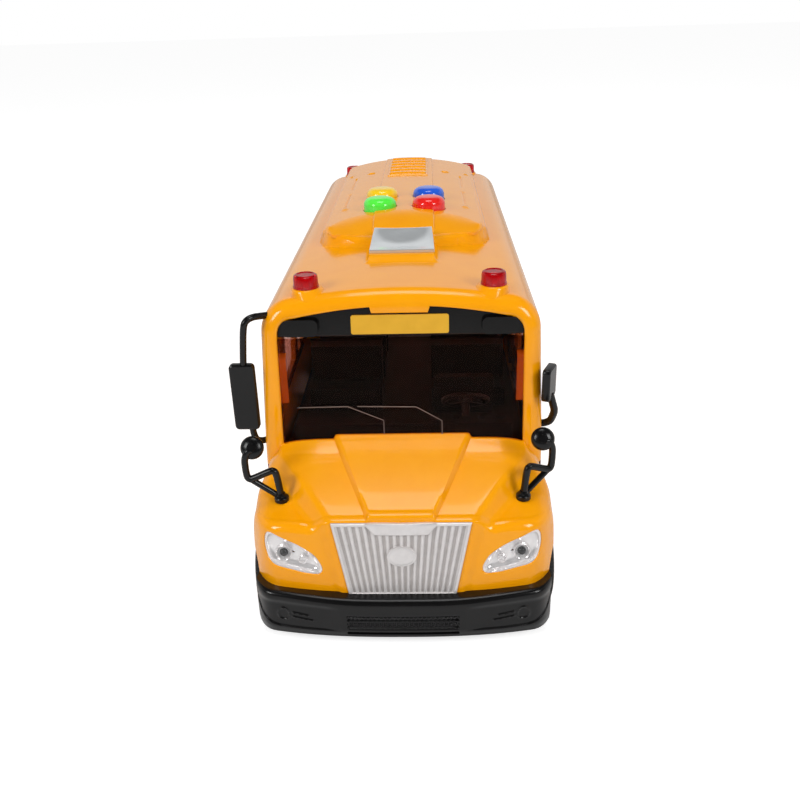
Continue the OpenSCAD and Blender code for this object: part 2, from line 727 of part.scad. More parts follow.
// Mirror rods run through a list of points, with a ball at each bend
module rod(points, d)
  for (i = [0:len(points) - 2]) {
    v = points[i + 1] - points[i];
    translate(points[i])
      rotate([0, acos(v[2] / norm(v)), atan2(v[1], v[0])])
        cylinder(d = d, h = norm(v));
    if (i > 0)
      translate(points[i])
        sphere(d = d + 0.3);
  }
foot_v = 20;
foot_x = half_w - 8.9;
foot_z = top_z(foot_x, foot_x / flank(foot_v), foot_v, 0);
foot = [foot_x, cowl_y - foot_v, foot_z];
module mirror_sockets() {
  translate([foot[0], foot[1], foot[2] - 4])
    cylinder(d = rod_d + 0.04, h = 12);
}
// Cross-view mirror: a disc on a bent rod with a strut, swung about its foot
module crossview_mirror(swing)
  color([0.08, 0.08, 0.09])
    translate(foot)
      rotate([0, 0, swing]) {
        elbow_in = [1.5, 0, 11.6];
        elbow_out = [10.6, 0, 8.1];
        bend = [11.4, 0, 16.6];
        disc = [9.1, 2.2, 19.3];
        union() {
          translate([0, 0, -3])
            cylinder(d = rod_d, h = 4.5);
          translate([0, 0, 1.3])
            cylinder(d = 5.4, h = 1.8);
          rod([[0, 0, 1.6], elbow_in, elbow_out], rod_d - 0.3);
          rod([[0, 0, 2.2], elbow_out + [-0.6, 0, -0.4]], rod_d - 0.6);
        }
        union() {
          rod([elbow_out, bend, disc + [0, -0.6, 0]], rod_d - 0.1);
          translate(elbow_out)
            sphere(d = rod_d + 0.4);
        }
        translate(disc)
          rotate([62, 0, -swing])
            rotate_extrude()
              polygon([[0, -1.6], [2.8, -1.6], [4.1, -0.2], [4.1, 0.6], [3.3, 1.6], [0, 1.9]]);
      }
module crossview_mirror_left()
  crossview_mirror(mirror_swing);
module crossview_mirror_right()
  mirror([1, 0, 0])
    crossview_mirror(0);

arm_top = roof_z - 8.3;
arm_low = belt_z - 0.9;
arm_short = belt_z + 3.7;
plate_x = -half_w - 5.9;
plate_y = cowl_y + 4;
tall_bends = [[plate_x + 4.8, plate_y + 2, arm_top], [plate_x + 4, plate_y + 1, arm_low]];
tall_ends = [[-half_w + 5.4, cowl_y + 12, arm_top - 1], [-half_w + 1.7, cowl_y + 7.4, arm_low]];
short_bend = [half_w + 1.7, plate_y + 4, arm_short];
short_end = [half_w - 1.7, plate_y + 4, arm_short];
// Passenger mirror: a tall plate on an arm from the roof shoulder to the cowl
module door_mirror_right()
  color([0.08, 0.08, 0.09]) {
    pz = belt_z + 18;
    translate([plate_x, plate_y + mirror_t / 2, pz])
      rotate([90, 0, 0])
        linear_extrude(mirror_t)
          polygon(rrect(mirror_w, mirror_h, 1.2));
    union()
      rod([[plate_x + 0.6, plate_y, pz + mirror_h / 2 - 2], [plate_x + 2.8, plate_y, arm_top - 2.7],
        tall_bends[0], tall_ends[0]], rod_d);
    union() {
      rod([[plate_x + 1.5, plate_y, pz - mirror_h / 2 + 2], [plate_x + 2, plate_y, arm_low + 2.9],
        tall_bends[1], tall_ends[1]], rod_d);
      translate([-half_w - fit, tall_ends[1][1] - 0.9, tall_ends[1][2]])
        rotate([0, -90, 0])
          cylinder(d = 4.8, h = 1.2);
    }
  }
// Driver mirror: a small plate turned to the side on one bowed arm
module door_mirror_left()
  color([0.08, 0.08, 0.09]) {
    translate([half_w + 1.7, plate_y, belt_z + 22])
      rotate([0, 0, 67])
        rotate([90, 0, 0])
          translate([0, 0, -mirror_t / 2])
            linear_extrude(mirror_t)
              polygon(rrect(9.3, 12.4, 1.2));
    rod([[half_w + 2.3, plate_y, belt_z + 17.5], [half_w + 4.1, plate_y + 1, arm_short + 7.3],
      [half_w + 3.5, plate_y + 3, arm_short + 2.3], short_bend, short_end], rod_d);
    translate([half_w + fit, short_end[1], short_end[2]])
      rotate([0, 90, 0])
        cylinder(d = 4.4, h = 1.2);
  }

module roof_lamp(p)
  translate([p[0] * lamp_x, p[1], p[2]]) {
    difference() {
      union() {
        translate([0, 0, fit])
          cylinder(d = lamp_d, h = lamp_h - 1.2);
        translate([0, 0, fit + lamp_h - 1.2])
          cylinder(d1 = lamp_d, d2 = lamp_d - 2.4, h = 1.2);
        translate([0, 0, -5])
          cylinder(d = lamp_d - 2.7, h = 6);
      }
      translate([0, 0, -6])
        cylinder(d = lamp_d - 4.3, h = lamp_h + 4);
    }
  }
module roof_lamps_front()
  color([0.75, 0.02, 0.08])
    for (i = [0, 1])
      roof_lamp(lamp_places[i]);
module roof_lamps_rear()
  color([0.75, 0.02, 0.08])
    for (i = [2, 3])
      roof_lamp(lamp_places[i]);
module roof_lamp_leds()
  color([0.9, 0.9, 0.9])
    for (p = lamp_places)
      translate([p[0] * lamp_x, p[1], p[2] - 5]) {
        cylinder(d = lamp_d - 4.4, h = 4);
        translate([0, 0, 4])
          cylinder(d = 3, h = 3);
      }

// Bright dish of the roof light, four facets that meet in the middle
module roof_light_tray()
  color([0.85, 0.85, 0.88])
    translate([0, tray_y, tray_z - 1 + fit])
      difference() {
        union() {
          rotate([90, 0, 90])
            translate([0, 0, -tray_half])
              linear_extrude(2 * tray_half)
                polygon([[-0.5, 0], [tray_len, 0], [tray_len, 4.5], [0, 1.4]]);
          translate([0, 11, -5])
            cylinder(d = 6.2, h = 6);
        }
        for (a = [[0, 1], [0, -1]])
          translate([0, 11, 2.6])
            rotate([8, a[1] * 14, 0])
              translate([a[1] > 0 ? 0.6 : -10.6, -8.5, 0])
                cube([10, 17, 6]);
      }

module console_form(z0, w0, w1, zt)
  hull() {
    pod_slab(w0, pod_y, pod_end, 6, z0 + 0.1);
    pod_slab(w1, pod_y + slope_len, pod_end - 4, 8, zt);
  }
function button_place(i) = [(i % 2 == 0 ? -1 : 1) * button_x / 2,
  cowl_y + 101.5 + (i < 2 ? 0 : button_y)];
console_in_z = console_z - console_t;
hatch_at = 95;
module roof_console()
  color("orange")
    difference() {
      union() {
        console_form(pod_z + fit, console_half, console_top, console_z);
        hull() {
          translate([-strip_half, pod_y + 12, pod_z + 1.5])
            cube([2 * strip_half, console_len - 14, 0.2]);
          translate([-strip_half, pod_y + 20, console_z + 0.5])
            cube([2 * strip_half, console_len - 24, 0.2]);
        }
        translate([-strip_half + 2.5, pod_y + hatch_at, console_z])
          cube([2 * strip_half - 5, console_len - hatch_at - 8, 1]);
        for (dy = [3:8.5:console_len - hatch_at - 12])
          translate([-strip_half + 3.5, pod_y + hatch_at + dy, console_z])
            cube([2 * strip_half - 7, 3, 1.8]);
        for (p = board_posts)
          translate([p[0], p[1], board_z + 1.6 + fit])
            cylinder(d = 5, h = console_in_z + 0.5 - board_z - 1.6);
      }
      difference() {
        hull() {
          pod_slab(deck_hole, hole_y0 - 3, hole_y1, 6, pod_z);
          pod_slab(deck_hole - 1, hole_y0 + 1, hole_y1 - 4, 4, console_in_z);
        }
        for (p = board_posts)
          translate([p[0], p[1], board_z])
            cylinder(d = 5, h = 20);
      }
      for (i = [0:3])
        translate([button_place(i)[0], button_place(i)[1], pod_z])
          cylinder(d = button_d + 2 * button_gap, h = 12);
      for (p = board_posts)
        translate([p[0], p[1], board_z])
          cylinder(d = screw_d + 0.06, h = 7);
      for (p = console_screw_places)
        translate([p[0], p[1], pod_z - 1])
          cylinder(d = screw_d + 0.06, h = 3.2);
    }
board_z = pod_z - 11.5;
board_posts = [for (sx = [-1, 1]) for (dy = [10.2, 38]) [sx * 20.6, button_place(0)[1] + dy]];

flange_z = console_in_z - fit - 1.2;
dome_z = board_z + 1.6 + 3.6;
module button(i, c)
  color(c)
    translate([button_place(i)[0], button_place(i)[1], 0]) {
      rise = 3;
      cap_r = (pow(button_d / 2, 2) + rise * rise) / (2 * rise);
      translate([0, 0, flange_z])
        cylinder(d = button_d + 1.4, h = 1.2);
      translate([0, 0, flange_z + 0.6])
        cylinder(d = button_d, h = button_z - rise - flange_z - 0.6);
      intersection() {
        translate([0, 0, button_z - cap_r])
          sphere(r = cap_r);
        translate([0, 0, button_z - rise - 0.3])
          cylinder(d = button_d - 0.02, h = 6);
      }
      translate([0, 0, dome_z])
        cylinder(d = 6, h = flange_z + 0.6 - dome_z);
    }
module button_green()
  button(0, [0.2, 0.9, 0.15]);
module button_red()
  button(1, [0.95, 0.1, 0.1]);
module button_yellow()
  button(2, [1, 0.85, 0.1]);
module button_blue()
  button(3, [0.1, 0.3, 0.9]);
module key_dome(i)
  color([0.85, 0.85, 0.8])
    translate([button_place(i)[0], button_place(i)[1], board_z + 1.6])
      difference() {
        cylinder(d1 = 10, d2 = 6, h = dome_z - board_z - 1.6);
        translate([0, 0, -0.1])
          cylinder(d1 = 8, d2 = 4, h = dome_z - board_z - 2.6);
      }
module key_dome_green()
  key_dome(0);
module key_dome_red()
  key_dome(1);
module key_dome_yellow()
  key_dome(2);
module key_dome_blue()
  key_dome(3);
module circuit_board()
  color([0.1, 0.4, 0.2])
    difference() {
      union() {
        translate([-deck_hole + 1, button_place(0)[1] - 10, board_z])
          cube([2 * deck_hole - 2, 54, 1.6]);
        translate([-6, button_place(0)[1] + 28, board_z - 2])
          cube([12, 12, 2.1]);
      }
      for (p = board_posts)
        translate([p[0], p[1], board_z - 1])
          cylinder(d = screw_d + 0.4, h = 4);
    }
module screw(d, h)
  difference() {
    union() {
      cylinder(d = d, h = h);
      translate([0, 0, -1.4])
        cylinder(d = 2 * d, h = 1.4);
    }
    for (a = [0, 90])
      rotate([0, 0, a])
        translate([-d * 0.6, -0.25, -1.5])
          cube([d * 1.2, 0.5, 0.7]);
  }
module board_screws()
  color([0.7, 0.7, 0.72])
    for (p = board_posts)
      translate([p[0], p[1], board_z - fit])
        screw(screw_d, 6);
module console_screws()
  color([0.7, 0.7, 0.72])
    for (p = console_screw_places)
      translate([p[0], p[1], pod_z - 2 - fit])
        screw(screw_d, 4);

// Chassis: floor, low side walls, battery box, bearings and the seat of the speaker
box_y = cowl_y + 45;
box_len = 3 * cell_d + 3;
speaker_y = cowl_y + 118;
bearing_x = 26;
head_z = 1.6;
pad_t = 3;
chassis_screw_places = concat([for (p = post_places) [p[0] * post_x, p[1]]], bumper_screws);
module chassis_plan(g)
  polygon([[-half_w + wall + g + fit, cowl_y + front_wall + 3], [-half_w + wall + g + fit, rear_y - 10],
    [-half_w + 11, rear_y - wall - g - fit], [half_w - 11, rear_y - wall - g - fit],
    [half_w - wall - g - fit, rear_y - 10], [half_w - wall - g - fit, cowl_y + front_wall + 3]]);
module chassis()
  color([0.12, 0.12, 0.13])
    difference() {
      union() {
        difference() {
          translate([0, 0, floor_z])
            linear_extrude(sill_z + 5 - floor_z)
              chassis_plan(0);
          translate([0, 0, floor_top])
            linear_extrude(30)
              chassis_plan(1.8);
        }
        translate([-tongue_half, tongue_y, floor_z])
          cube([2 * tongue_half, cowl_y + front_wall + 4 - tongue_y, pad_t]);
        for (p = post_places)
          translate([p[0] * post_x, p[1], floor_z])
            cylinder(d = 9, h = pad_t + 1.4);
        translate([-6, box_y - 11, floor_z])
          cube([12, 10, 8]);
        for (y = [front_axle_y, rear_axle_y])
          for (sx = [-1, 1])
            translate([sx * bearing_x - 3, y - 4, floor_z])
              cube([6, 8, wheel_r + sleeve_r - floor_z]);
        translate([-cell_len / 2 - 4, box_y - 2, floor_z])
          cube([cell_len + 8, box_len + 4, cell_z + cell_d / 2 + 2 - floor_z]);
        translate([0, speaker_y, floor_z])
          cylinder(d = speaker_d + 4.4, h = 8);
      }
      translate([-cell_len / 2 - 2, box_y, floor_z - 1])
        cube([cell_len + 4, box_len, cell_z + cell_d / 2 + 1 - floor_z]);
      translate([-cell_len / 2 - 4 - fit, box_y - 2 - fit, floor_z - 1])
        cube([cell_len + 8 + 2 * fit, box_len + 4 + 2 * fit, 1 + 1.5 + fit]);
      translate([-4.5 - fit, box_y - 10 - fit, floor_z - 1])
        cube([9 + 2 * fit, 10, 1 + 2.5 + fit]);
      translate([0, box_y - 6, floor_z - 1])
        cylinder(d = screw_d + 0.06, h = 8.6);
      translate([0, speaker_y, floor_top])
        cylinder(d = speaker_d + 2 * fit, h = 20);
      for (a = [0:60:300])
        translate([10 * cos(a), speaker_y + 10 * sin(a), floor_z - 1])
          cylinder(d = 4, h = 4);
      for (y = [front_axle_y, rear_axle_y]) {
        translate([-60, y, wheel_r])
          rotate([0, 90, 0])
            cylinder(d = axle_d + 2 * axle_play, h = 120);
        for (sx = [-1, 1])
          translate([sx > 0 ? arch_in - 6 : -70, y, wheel_r])
            rotate([0, 90, 0])
              cylinder(r = arch_r, h = 76 - arch_in);
      }
      for (p = chassis_screw_places) {
        translate([p[0], p[1], floor_z - 1])
          cylinder(d = screw_d + 0.4, h = 8);
        translate([p[0], p[1], floor_z - 1])
          cylinder(d = 2 * screw_d + 0.4, h = 1 + head_z);
      }
      translate([-motor_half - 2, fly_y - 13, floor_z + 1])
        cube([2 * motor_half + 4, rear_axle_y + 16 - fly_y + 5, 4]);
      translate([5, rear_axle_y - 9.5, floor_z - 1])
        cube([6, 19, 4]);
    }
module battery_door()
  color([0.1, 0.1, 0.11])
    difference() {
      union() {
        translate([-cell_len / 2 - 4, box_y - 2, floor_z])
          cube([cell_len + 8, box_len + 4, 1.5]);
        translate([-4.5, box_y - 10, floor_z])
          cube([9, 9, 2.5]);
      }
      translate([0, box_y - 6, floor_z - 1])
        cylinder(d = screw_d + 0.4, h = 4);
      translate([0, box_y - 6, floor_z - 1])
        cylinder(d = 2 * screw_d + 0.4, h = 1 + head_z);
    }
module battery_door_screw()
  color([0.7, 0.7, 0.72])
    translate([0, box_y - 6, floor_z + head_z - 0.05])
      screw(screw_d, 6);
function cell_y(i) = box_y + 1.5 + cell_d / 2 + i * cell_d;
cell_z = floor_z + 1.6 + cell_d / 2;
module battery_cells()
  color([0.2, 0.2, 0.2])
    for (i = [0:2])
      translate([(i % 2 == 0 ? -1 : 1) * (cell_len / 2), cell_y(i), cell_z])
        rotate([0, i % 2 == 0 ? 90 : -90, 0]) {
          cylinder(d = cell_d - 0.2, h = cell_len - 1.2);
          translate([0, 0, cell_len - 1.2])
            cylinder(d = 5.4, h = 1.2);
        }
module battery_contacts()
  color([0.8, 0.78, 0.7])
    for (i = [0:2])
      for (sx = [-1, 1])
        translate([sx * (cell_len / 2 + 1) - 0.9, cell_y(i) - 4.5, cell_z - 4.5])
          cube([1.8, 9, 9]);
module speaker()
  color([0.2, 0.2, 0.2])
    translate([0, speaker_y, floor_top]) {
      rotate_extrude()
        polygon([[0, 3], [6, 3], [speaker_d / 2 - 3, 1], [speaker_d / 2 - 3, 0], [speaker_d / 2, 0],
          [speaker_d / 2, 2.4], [10, 6], [10, 10], [0, 10]]);
    }
module chassis_screws()
  color([0.7, 0.7, 0.72]) {
    for (p = post_places)
      translate([p[0] * post_x, p[1], floor_z + head_z - 0.05])
        screw(screw_d, 13);
    for (p = bumper_screws)
      translate([p[0], p[1], floor_z + head_z - 0.05])
        screw(screw_d, 4.2);
  }

// Wheels on steel axles
module along_x(x, y, z)
  translate([x, y, z])
    rotate([0, 90, 0])
      children();
axle_len = track - 8;
module axle(y)
  color([0.75, 0.75, 0.78])
    along_x(-axle_len / 2, y, wheel_r)
      cylinder(d = axle_d, h = axle_len);
module front_axle()
  axle(front_axle_y);
module rear_axle()
  axle(rear_axle_y);
rim_r = wheel_r - 5;
module tyre(y, sx)
  color([0.06, 0.06, 0.06])
    along_x(sx * (track / 2 - wheel_w / 2), y, wheel_r)
      rotate_extrude()
        polygon([[rim_r, -wheel_w / 2 + 0.5], [rim_r + 0.5, -wheel_w / 2], [wheel_r - 1.6, -wheel_w / 2],
          [wheel_r, -wheel_w / 2 + 1.6], [wheel_r, -1.6], [wheel_r - 0.7, -1.2], [wheel_r - 0.7, -0.8],
          [wheel_r, -0.4], [wheel_r, 0.4], [wheel_r - 0.7, 0.8], [wheel_r - 0.7, 1.2], [wheel_r, 1.6],
          [wheel_r, wheel_w / 2 - 1.6], [wheel_r - 1.6, wheel_w / 2], [rim_r + 0.5, wheel_w / 2],
          [rim_r, wheel_w / 2 - 0.5]]);
module hub(y, sx)
  color([0.8, 0.8, 0.8])
    mirror([sx > 0 ? 0 : 1, 0, 0])
      along_x(track / 2 - wheel_w / 2, y, wheel_r)
        difference() {
          rotate_extrude()
            let(bore = axle_d / 2 + 0.01, rim = rim_r - 0.02, lip = wheel_w / 2 - 0.6)
              polygon([[bore, -9], [sleeve_r, -9], [sleeve_r, -2], [rim_r - 1.6, -2], [rim_r - 1.6, -lip],
                [rim, -lip], [rim, lip], [rim_r - 1.6, lip], [rim_r - 2.6, 1], [4.6, 1.6], [4, 3.6],
                [2.4, 4.4], [0, 4.4], [0, 1.4], [bore, 1.4]]);
          for (a = [0:60:300])
            rotate([0, 0, a])
              translate([6.3, 0, -3])
                cylinder(d = 2.2, h = 6);
        }
module tyre_front_left()
  tyre(front_axle_y, 1);
module tyre_front_right()
  tyre(front_axle_y, -1);
module tyre_rear_left()
  tyre(rear_axle_y, 1);
module tyre_rear_right()
  tyre(rear_axle_y, -1);
module hub_front_left()
  hub(front_axle_y, 1);
module hub_front_right()
  hub(front_axle_y, -1);
module hub_rear_left()
  hub(rear_axle_y, 1);
module hub_rear_right()
  hub(rear_axle_y, -1);

// Friction drive: axle gear, compound idler and flywheel
function involute(rb, r) = let(t = sqrt(max(0, r * r / (rb * rb) - 1))) t * 180 / PI - atan(t);
module gear(z, add) {
  rp = gear_m * z / 2;
  rb = rp * cos(20);
  ro = rp + add * gear_m;
  rr = rp - 1.3 * gear_m;
  half = (90 / z) - 0.14 * 90 / (PI * rp) + involute(rb, rp);
  steps = [for (i = [0:4]) mix(max(rb, rr), ro, i / 4)];
  polygon([for (k = [0:z - 1]) let(c = 360 * k / z) for (q = concat(
      [[rr, c - half - 1]], [for (r = steps) [r, c - half + involute(rb, r)]],
      [for (i = [4:-1:0]) [steps[i], c + half - involute(rb, steps[i])]], [[rr, c + half + 1]]))
    [q[0] * cos(q[1]), q[0] * sin(q[1])]]);
}
module spin_gear(y, z, turn, x0, x1, teeth, add)
  translate([x0, y, z])
    rotate([90, 0, 90])
      rotate([0, 0, turn])
        linear_extrude(x1 - x0)
          gear(teeth, add);
mesh_play = 0.16;
reach_1 = gear_m * (axle_teeth + pinion_teeth) / 2 + mesh_play;
reach_2 = gear_m * (idler_teeth + pinion_teeth) / 2 + mesh_play;
idler_turn = 128;
idler_y = rear_axle_y + reach_1 * cos(idler_turn);
idler_z = wheel_r + reach_1 * sin(idler_turn);
fly_y = idler_y - reach_2;
fly_z = idler_z;
motor_half = 13;
module axle_gear()
  color([0.9, 0.9, 0.85])
    difference() {
      union() {
        spin_gear(rear_axle_y, wheel_r, idler_turn, 6, 10, axle_teeth, 0.6);
        along_x(5.2, rear_axle_y, wheel_r)
          cylinder(d = 6, h = 5.4);
      }
      along_x(-20, rear_axle_y, wheel_r)
        cylinder(d = axle_d + 0.02, h = 40);
    }
module idler_gear()
  color([0.9, 0.9, 0.85]) {
    spin_gear(idler_y, idler_z, idler_turn + 180 + 180 / pinion_teeth, 4, 10.4, pinion_teeth, 1);
    spin_gear(idler_y, idler_z, 180, 0.6, 4.6, idler_teeth, 0.6);
    along_x(-motor_half - 1.5, idler_y, idler_z)
      cylinder(d = shaft_d, h = 2 * motor_half + 3);
  }
module flywheel()
  color([0.6, 0.6, 0.63]) {
    spin_gear(fly_y, fly_z, 180 / pinion_teeth, -2, 5, pinion_teeth, 1);
    along_x(-9.5, fly_y, fly_z)
      cylinder(d = fly_d, h = 8);
    along_x(-motor_half - 1.5, fly_y, fly_z)
      cylinder(d = shaft_d, h = 2 * motor_half + 3);
  }
module motor_housing()
  color([0.25, 0.25, 0.27])
    difference() {
      union() {
        for (x = [-motor_half - 1.6, motor_half])
          translate([x, fly_y - 8, floor_top - 0.9])
            cube([1.6, rear_axle_y + 8 - fly_y + 6, 24]);
        translate([-motor_half - 1.6, fly_y - 12.6, floor_top - 0.9])
          cube([2 * motor_half + 3.2, 1.6, 24]);
        translate([-motor_half - 1.6, fly_y - 12.6, floor_top - 0.9])
          cube([1.6, 8, 24]);
        translate([motor_half, fly_y - 12.6, floor_top - 0.9])
          cube([1.6, 8, 24]);
      }
      along_x(-30, rear_axle_y, wheel_r)
        cylinder(d = axle_d + 2 * axle_play, h = 60);
      along_x(-30, idler_y, idler_z)
        cylinder(d = shaft_d + 0.12, h = 60);
      along_x(-30, fly_y, fly_z)
        cylinder(d = shaft_d + 0.12, h = 60);
    }

// Seats on a deck over the works, with the driver's place at the front
deck_half = half_w - wall - 1;
seat_pitch = (rear_y - cowl_y - 116) / 4;
module seat(x, y, w) {
  translate([x - w / 2, y, deck_z - 0.1])
    cube([w, 14, 9]);
  translate([x - w / 2, y + 11, deck_z - 0.1])
    cube([w, 4, 25]);
}
module interior_deck()
  color([0.13, 0.13, 0.14]) {
    translate([-deck_half, cowl_y + 8, deck_z - 2])
      cube([2 * deck_half, rear_y - cowl_y - 20, 2]);
    seat(24, cowl_y + 30, 24);
    for (i = [0:4])
      for (sx = [-1, 1])
        seat(sx * 27, cowl_y + 66 + i * seat_pitch, 32);
  }
dash_z = belt_z + 3.5;
module dashboard()
  color([0.1, 0.1, 0.11])
    difference() {
      union() {
        rotate([90, 0, 90])
          translate([0, 0, -41])
            linear_extrude(82)
              polygon([[cowl_y + 9, deck_z + fit], [cowl_y + 17, deck_z + fit], [cowl_y + 19, belt_z - 0.5],
                [cowl_y + 15, dash_z], [cowl_y + 9, dash_z]]);
        for (x = [12, 20, 30, 37])
          translate([x, cowl_y + 14, dash_z - 1])
            cylinder(d = 3.4, h = 2.2);
      }
      wheel_space()
        translate([0, 0, -10])
          cylinder(d = 3.1, h = 12);
    }
module wheel_space()
  translate([24, cowl_y + 19, dash_z + 0.6])
    rotate([-38, 0, 0])
      children();
module steering_wheel()
  color([0.07, 0.07, 0.08])
    wheel_space() {
      translate([0, 0, 4])
        rotate_extrude()
          translate([8.4, 0])
            circle(d = 2);
      translate([0, 0, 3.2])
        cylinder(d = 5, h = 1.6);
      for (a = [30, 150, 270])
        rotate([0, 0, a])
          translate([0, -0.8, 3.4])
            cube([8.4, 1.6, 1.2]);
      translate([0, 0, -5])
        cylinder(d = 3, h = 9);
    }

body_shell();
header_panel();
sign_plate();
windshield();
side_glass_left();
side_glass_right();
rear_glass();
grille();
headlight_reflector_left();
headlight_reflector_right();
headlight_lens_left();
headlight_lens_right();
front_bumper();
rear_bumper();
tail_lamps();
crossview_mirror_left();
crossview_mirror_right();
door_mirror_left();
door_mirror_right();
roof_lamps_front();
roof_lamps_rear();
roof_lamp_leds();
roof_light_tray();
roof_console();
button_green();
button_red();
button_yellow();
button_blue();
key_dome_green();
key_dome_red();
key_dome_yellow();
key_dome_blue();
circuit_board();
console_screws();
board_screws();
speaker();
chassis();
battery_door();
battery_cells();
battery_contacts();
battery_door_screw();
chassis_screws();
front_axle();
rear_axle();
tyre_front_left();
tyre_front_right();
tyre_rear_left();
tyre_rear_right();
hub_front_left();
hub_front_right();
hub_rear_left();
hub_rear_right();
axle_gear();
idler_gear();
flywheel();
motor_housing();
interior_deck();
dashboard();
steering_wheel();
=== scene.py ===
"""Dresses the toy bus: shell, console, bumper, grille, lamps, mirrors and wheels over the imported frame."""
import json
import math

import bpy
import numpy as np
from mathutils import Matrix, Vector


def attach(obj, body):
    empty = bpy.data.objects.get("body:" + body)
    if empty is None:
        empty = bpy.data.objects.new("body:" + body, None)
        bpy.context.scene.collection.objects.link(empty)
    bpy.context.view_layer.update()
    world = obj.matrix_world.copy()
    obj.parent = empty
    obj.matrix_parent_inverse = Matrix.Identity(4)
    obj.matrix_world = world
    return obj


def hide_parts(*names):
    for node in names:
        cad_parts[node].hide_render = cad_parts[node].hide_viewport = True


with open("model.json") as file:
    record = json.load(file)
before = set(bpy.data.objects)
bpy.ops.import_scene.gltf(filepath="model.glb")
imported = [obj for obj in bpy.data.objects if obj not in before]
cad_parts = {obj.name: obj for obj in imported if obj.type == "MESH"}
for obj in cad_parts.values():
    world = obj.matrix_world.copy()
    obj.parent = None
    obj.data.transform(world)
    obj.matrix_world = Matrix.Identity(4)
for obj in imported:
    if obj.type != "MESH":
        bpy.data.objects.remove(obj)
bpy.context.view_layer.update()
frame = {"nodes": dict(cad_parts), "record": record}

MM = 0.001
# Steps per millimetre to which points are rounded before equal ones are merged
MERGE_STEPS = 2000
# Distance of a point that an opening can't reach
FAR = 9.0

# Sizes in millimetres, as in the part's source
HALF = 51.5
BELT = 58.5
SILL = 15.0
ROOF = 114.5
TUMBLE = 1.2
SHOULDER_R = 12.0
SHOULDER_Z = 99.282
SHOULDER_END = math.radians(80)
CROWN_HALF = 38.0
ROOF_FROM = 105.0
COWL = -105.0
REAR = 145.0
RAKE = math.radians(8.3)
SHEAR = math.tan(RAKE)
FRAME_R = 0.45
BROW_R = 5.0
REAR_R = 8.0
SIGN_NOTCH_HALF = 10.2
SIGN_NOTCH_H = 48.7
NOSE_Z = 19.0
NOSE_LEAN = 0.13
LEAN_Z = 20
WHEEL_R = 15.5
AXLES = (-116.0, 67.0)
ARCH_R = 17.0
TYRE_X = 49.3
LAMP_X = 33.6
LAMPS = [(sx * LAMP_X, y, z) for y, z in ((-89.0, 114.0), (138.0, 112.1)) for sx in (1, -1)]
BUTTONS = {"green": (-10.8, -3.5), "red": (10.8, -3.5), "yellow": (-10.8, 17.0), "blue": (10.8, 17.0)}
BUTTON_HOLE_R = 7.6
CAP_R = 7.2
CAP_FLANGE_R = 7.9
CAP_DOME_Z = 124.6
CAP_DOME_H = 3.35

# Side windows, rear window (width, height, corner) and windshield
WINDOWS = 7
WINDOW_Y = -83.5
WINDOW_PITCH = 33.5
WINDOW_Z = 78.0
WINDOW_SIZE = (27, 26, 3)
REAR_WINDOW_Z = 75.0
REAR_WINDOW_SIZE = (73, 30, 4)
GLASS_HALF = 43.8
GLASS_LOW, GLASS_HIGH = 0.3, 40.2

# Roof console, its base and the light tray
BASE_Z = 117.45
PLATFORM_Z = 116.55
CONSOLE_EDGE_Z = 117.6
CONSOLE_TOP = 123.3
CONSOLE_TAIL = 127
HATCH_FRONT, HATCH_BACK, HATCH_HALF = 68, 119, 10.6
RIB_PITCH, RIB_W = 8.5, 3
# Side place, front, back, half width and height of the marks on both sides
CONSOLE_MARKS = ((27.5, 9, 40, 0.8, -0.5), (27.5, 4, 7.5, 1.6, 0.5), (27.5, 50, 80, 0.8, -0.5),
                 (20.0, 85, 89, 2.0, 0.5), (31.0, 88, 94, 1.2, 0.4))
TRAY_FRONT = -54.5
TRAY_LENGTH = 22.5
TRAY_Z = 117.9
TRAY_FOOT_Z = 116.6

# Grille, measured up its leaning face
GRILLE_Y, GRILLE_Z = -142.5, LEAN_Z
LEAN_SIN, LEAN_COS = 0.1289, 0.9917
GRILLE_LOW, GRILLE_HIGH = -0.9, 26.9
RIBS = 19
BADGE_H = 14.5
BADGE_HALF_W, BADGE_HALF_H = 5.2, 3.7
TAB_H = 24.9


def mix(a, b, t):
    return a + (b - a) * t


def clamp(t):
    return max(0.0, min(1.0, t))


def smooth(t):
    """Soft rise from 0 to 1."""
    t = clamp(t)
    return t * t * (3.0 - 2.0 * t)


def steps(*parts):
    """Rising or falling values: (start, end, count) runs joined, each end shared with the next start."""
    out = []
    for a, b, n in parts:
        for k in range(n + 1):
            value = mix(a, b, k / n)
            if not out or abs(out[-1] - value) > 1e-6:
                out.append(value)
    return out


def mirrored(xs):
    """A list that runs to the middle, and on to the other side."""
    return xs + [-x for x in reversed(xs[:-1])]


def circle(n):
    """Cosine and sine of n angles round a circle."""
    return [(math.cos(2 * math.pi * k / n), math.sin(2 * math.pi * k / n)) for k in range(n)]


def spline(points, n, closed=False):
    """Points on a curve through the given points, n for each span."""
    pts = [np.array(p, float) for p in points]
    m = len(pts)
    out = []
    for i in range(m if closed else m - 1):
        a, b, c, d = (pts[k % m if closed else max(0, min(k, m - 1))] for k in range(i - 1, i + 3))
        for k in range(n):
            t = k / n
            out.append(0.5 * (2 * b + (c - a) * t + (2 * a - 5 * b + 4 * c - d) * t * t
                              + (3 * b - a - 3 * c + d) * t ** 3))
    if not closed:
        out.append(pts[-1])
    return out


def rounded_rect(u, v, w, h, r):
    """Distance from a point to a rounded rectangle about the origin, positive outside."""
    a = abs(u) - w / 2 + r
    b = abs(v) - h / 2 + r
    return math.hypot(max(a, 0.0), max(b, 0.0)) + min(max(a, b), 0.0) - r


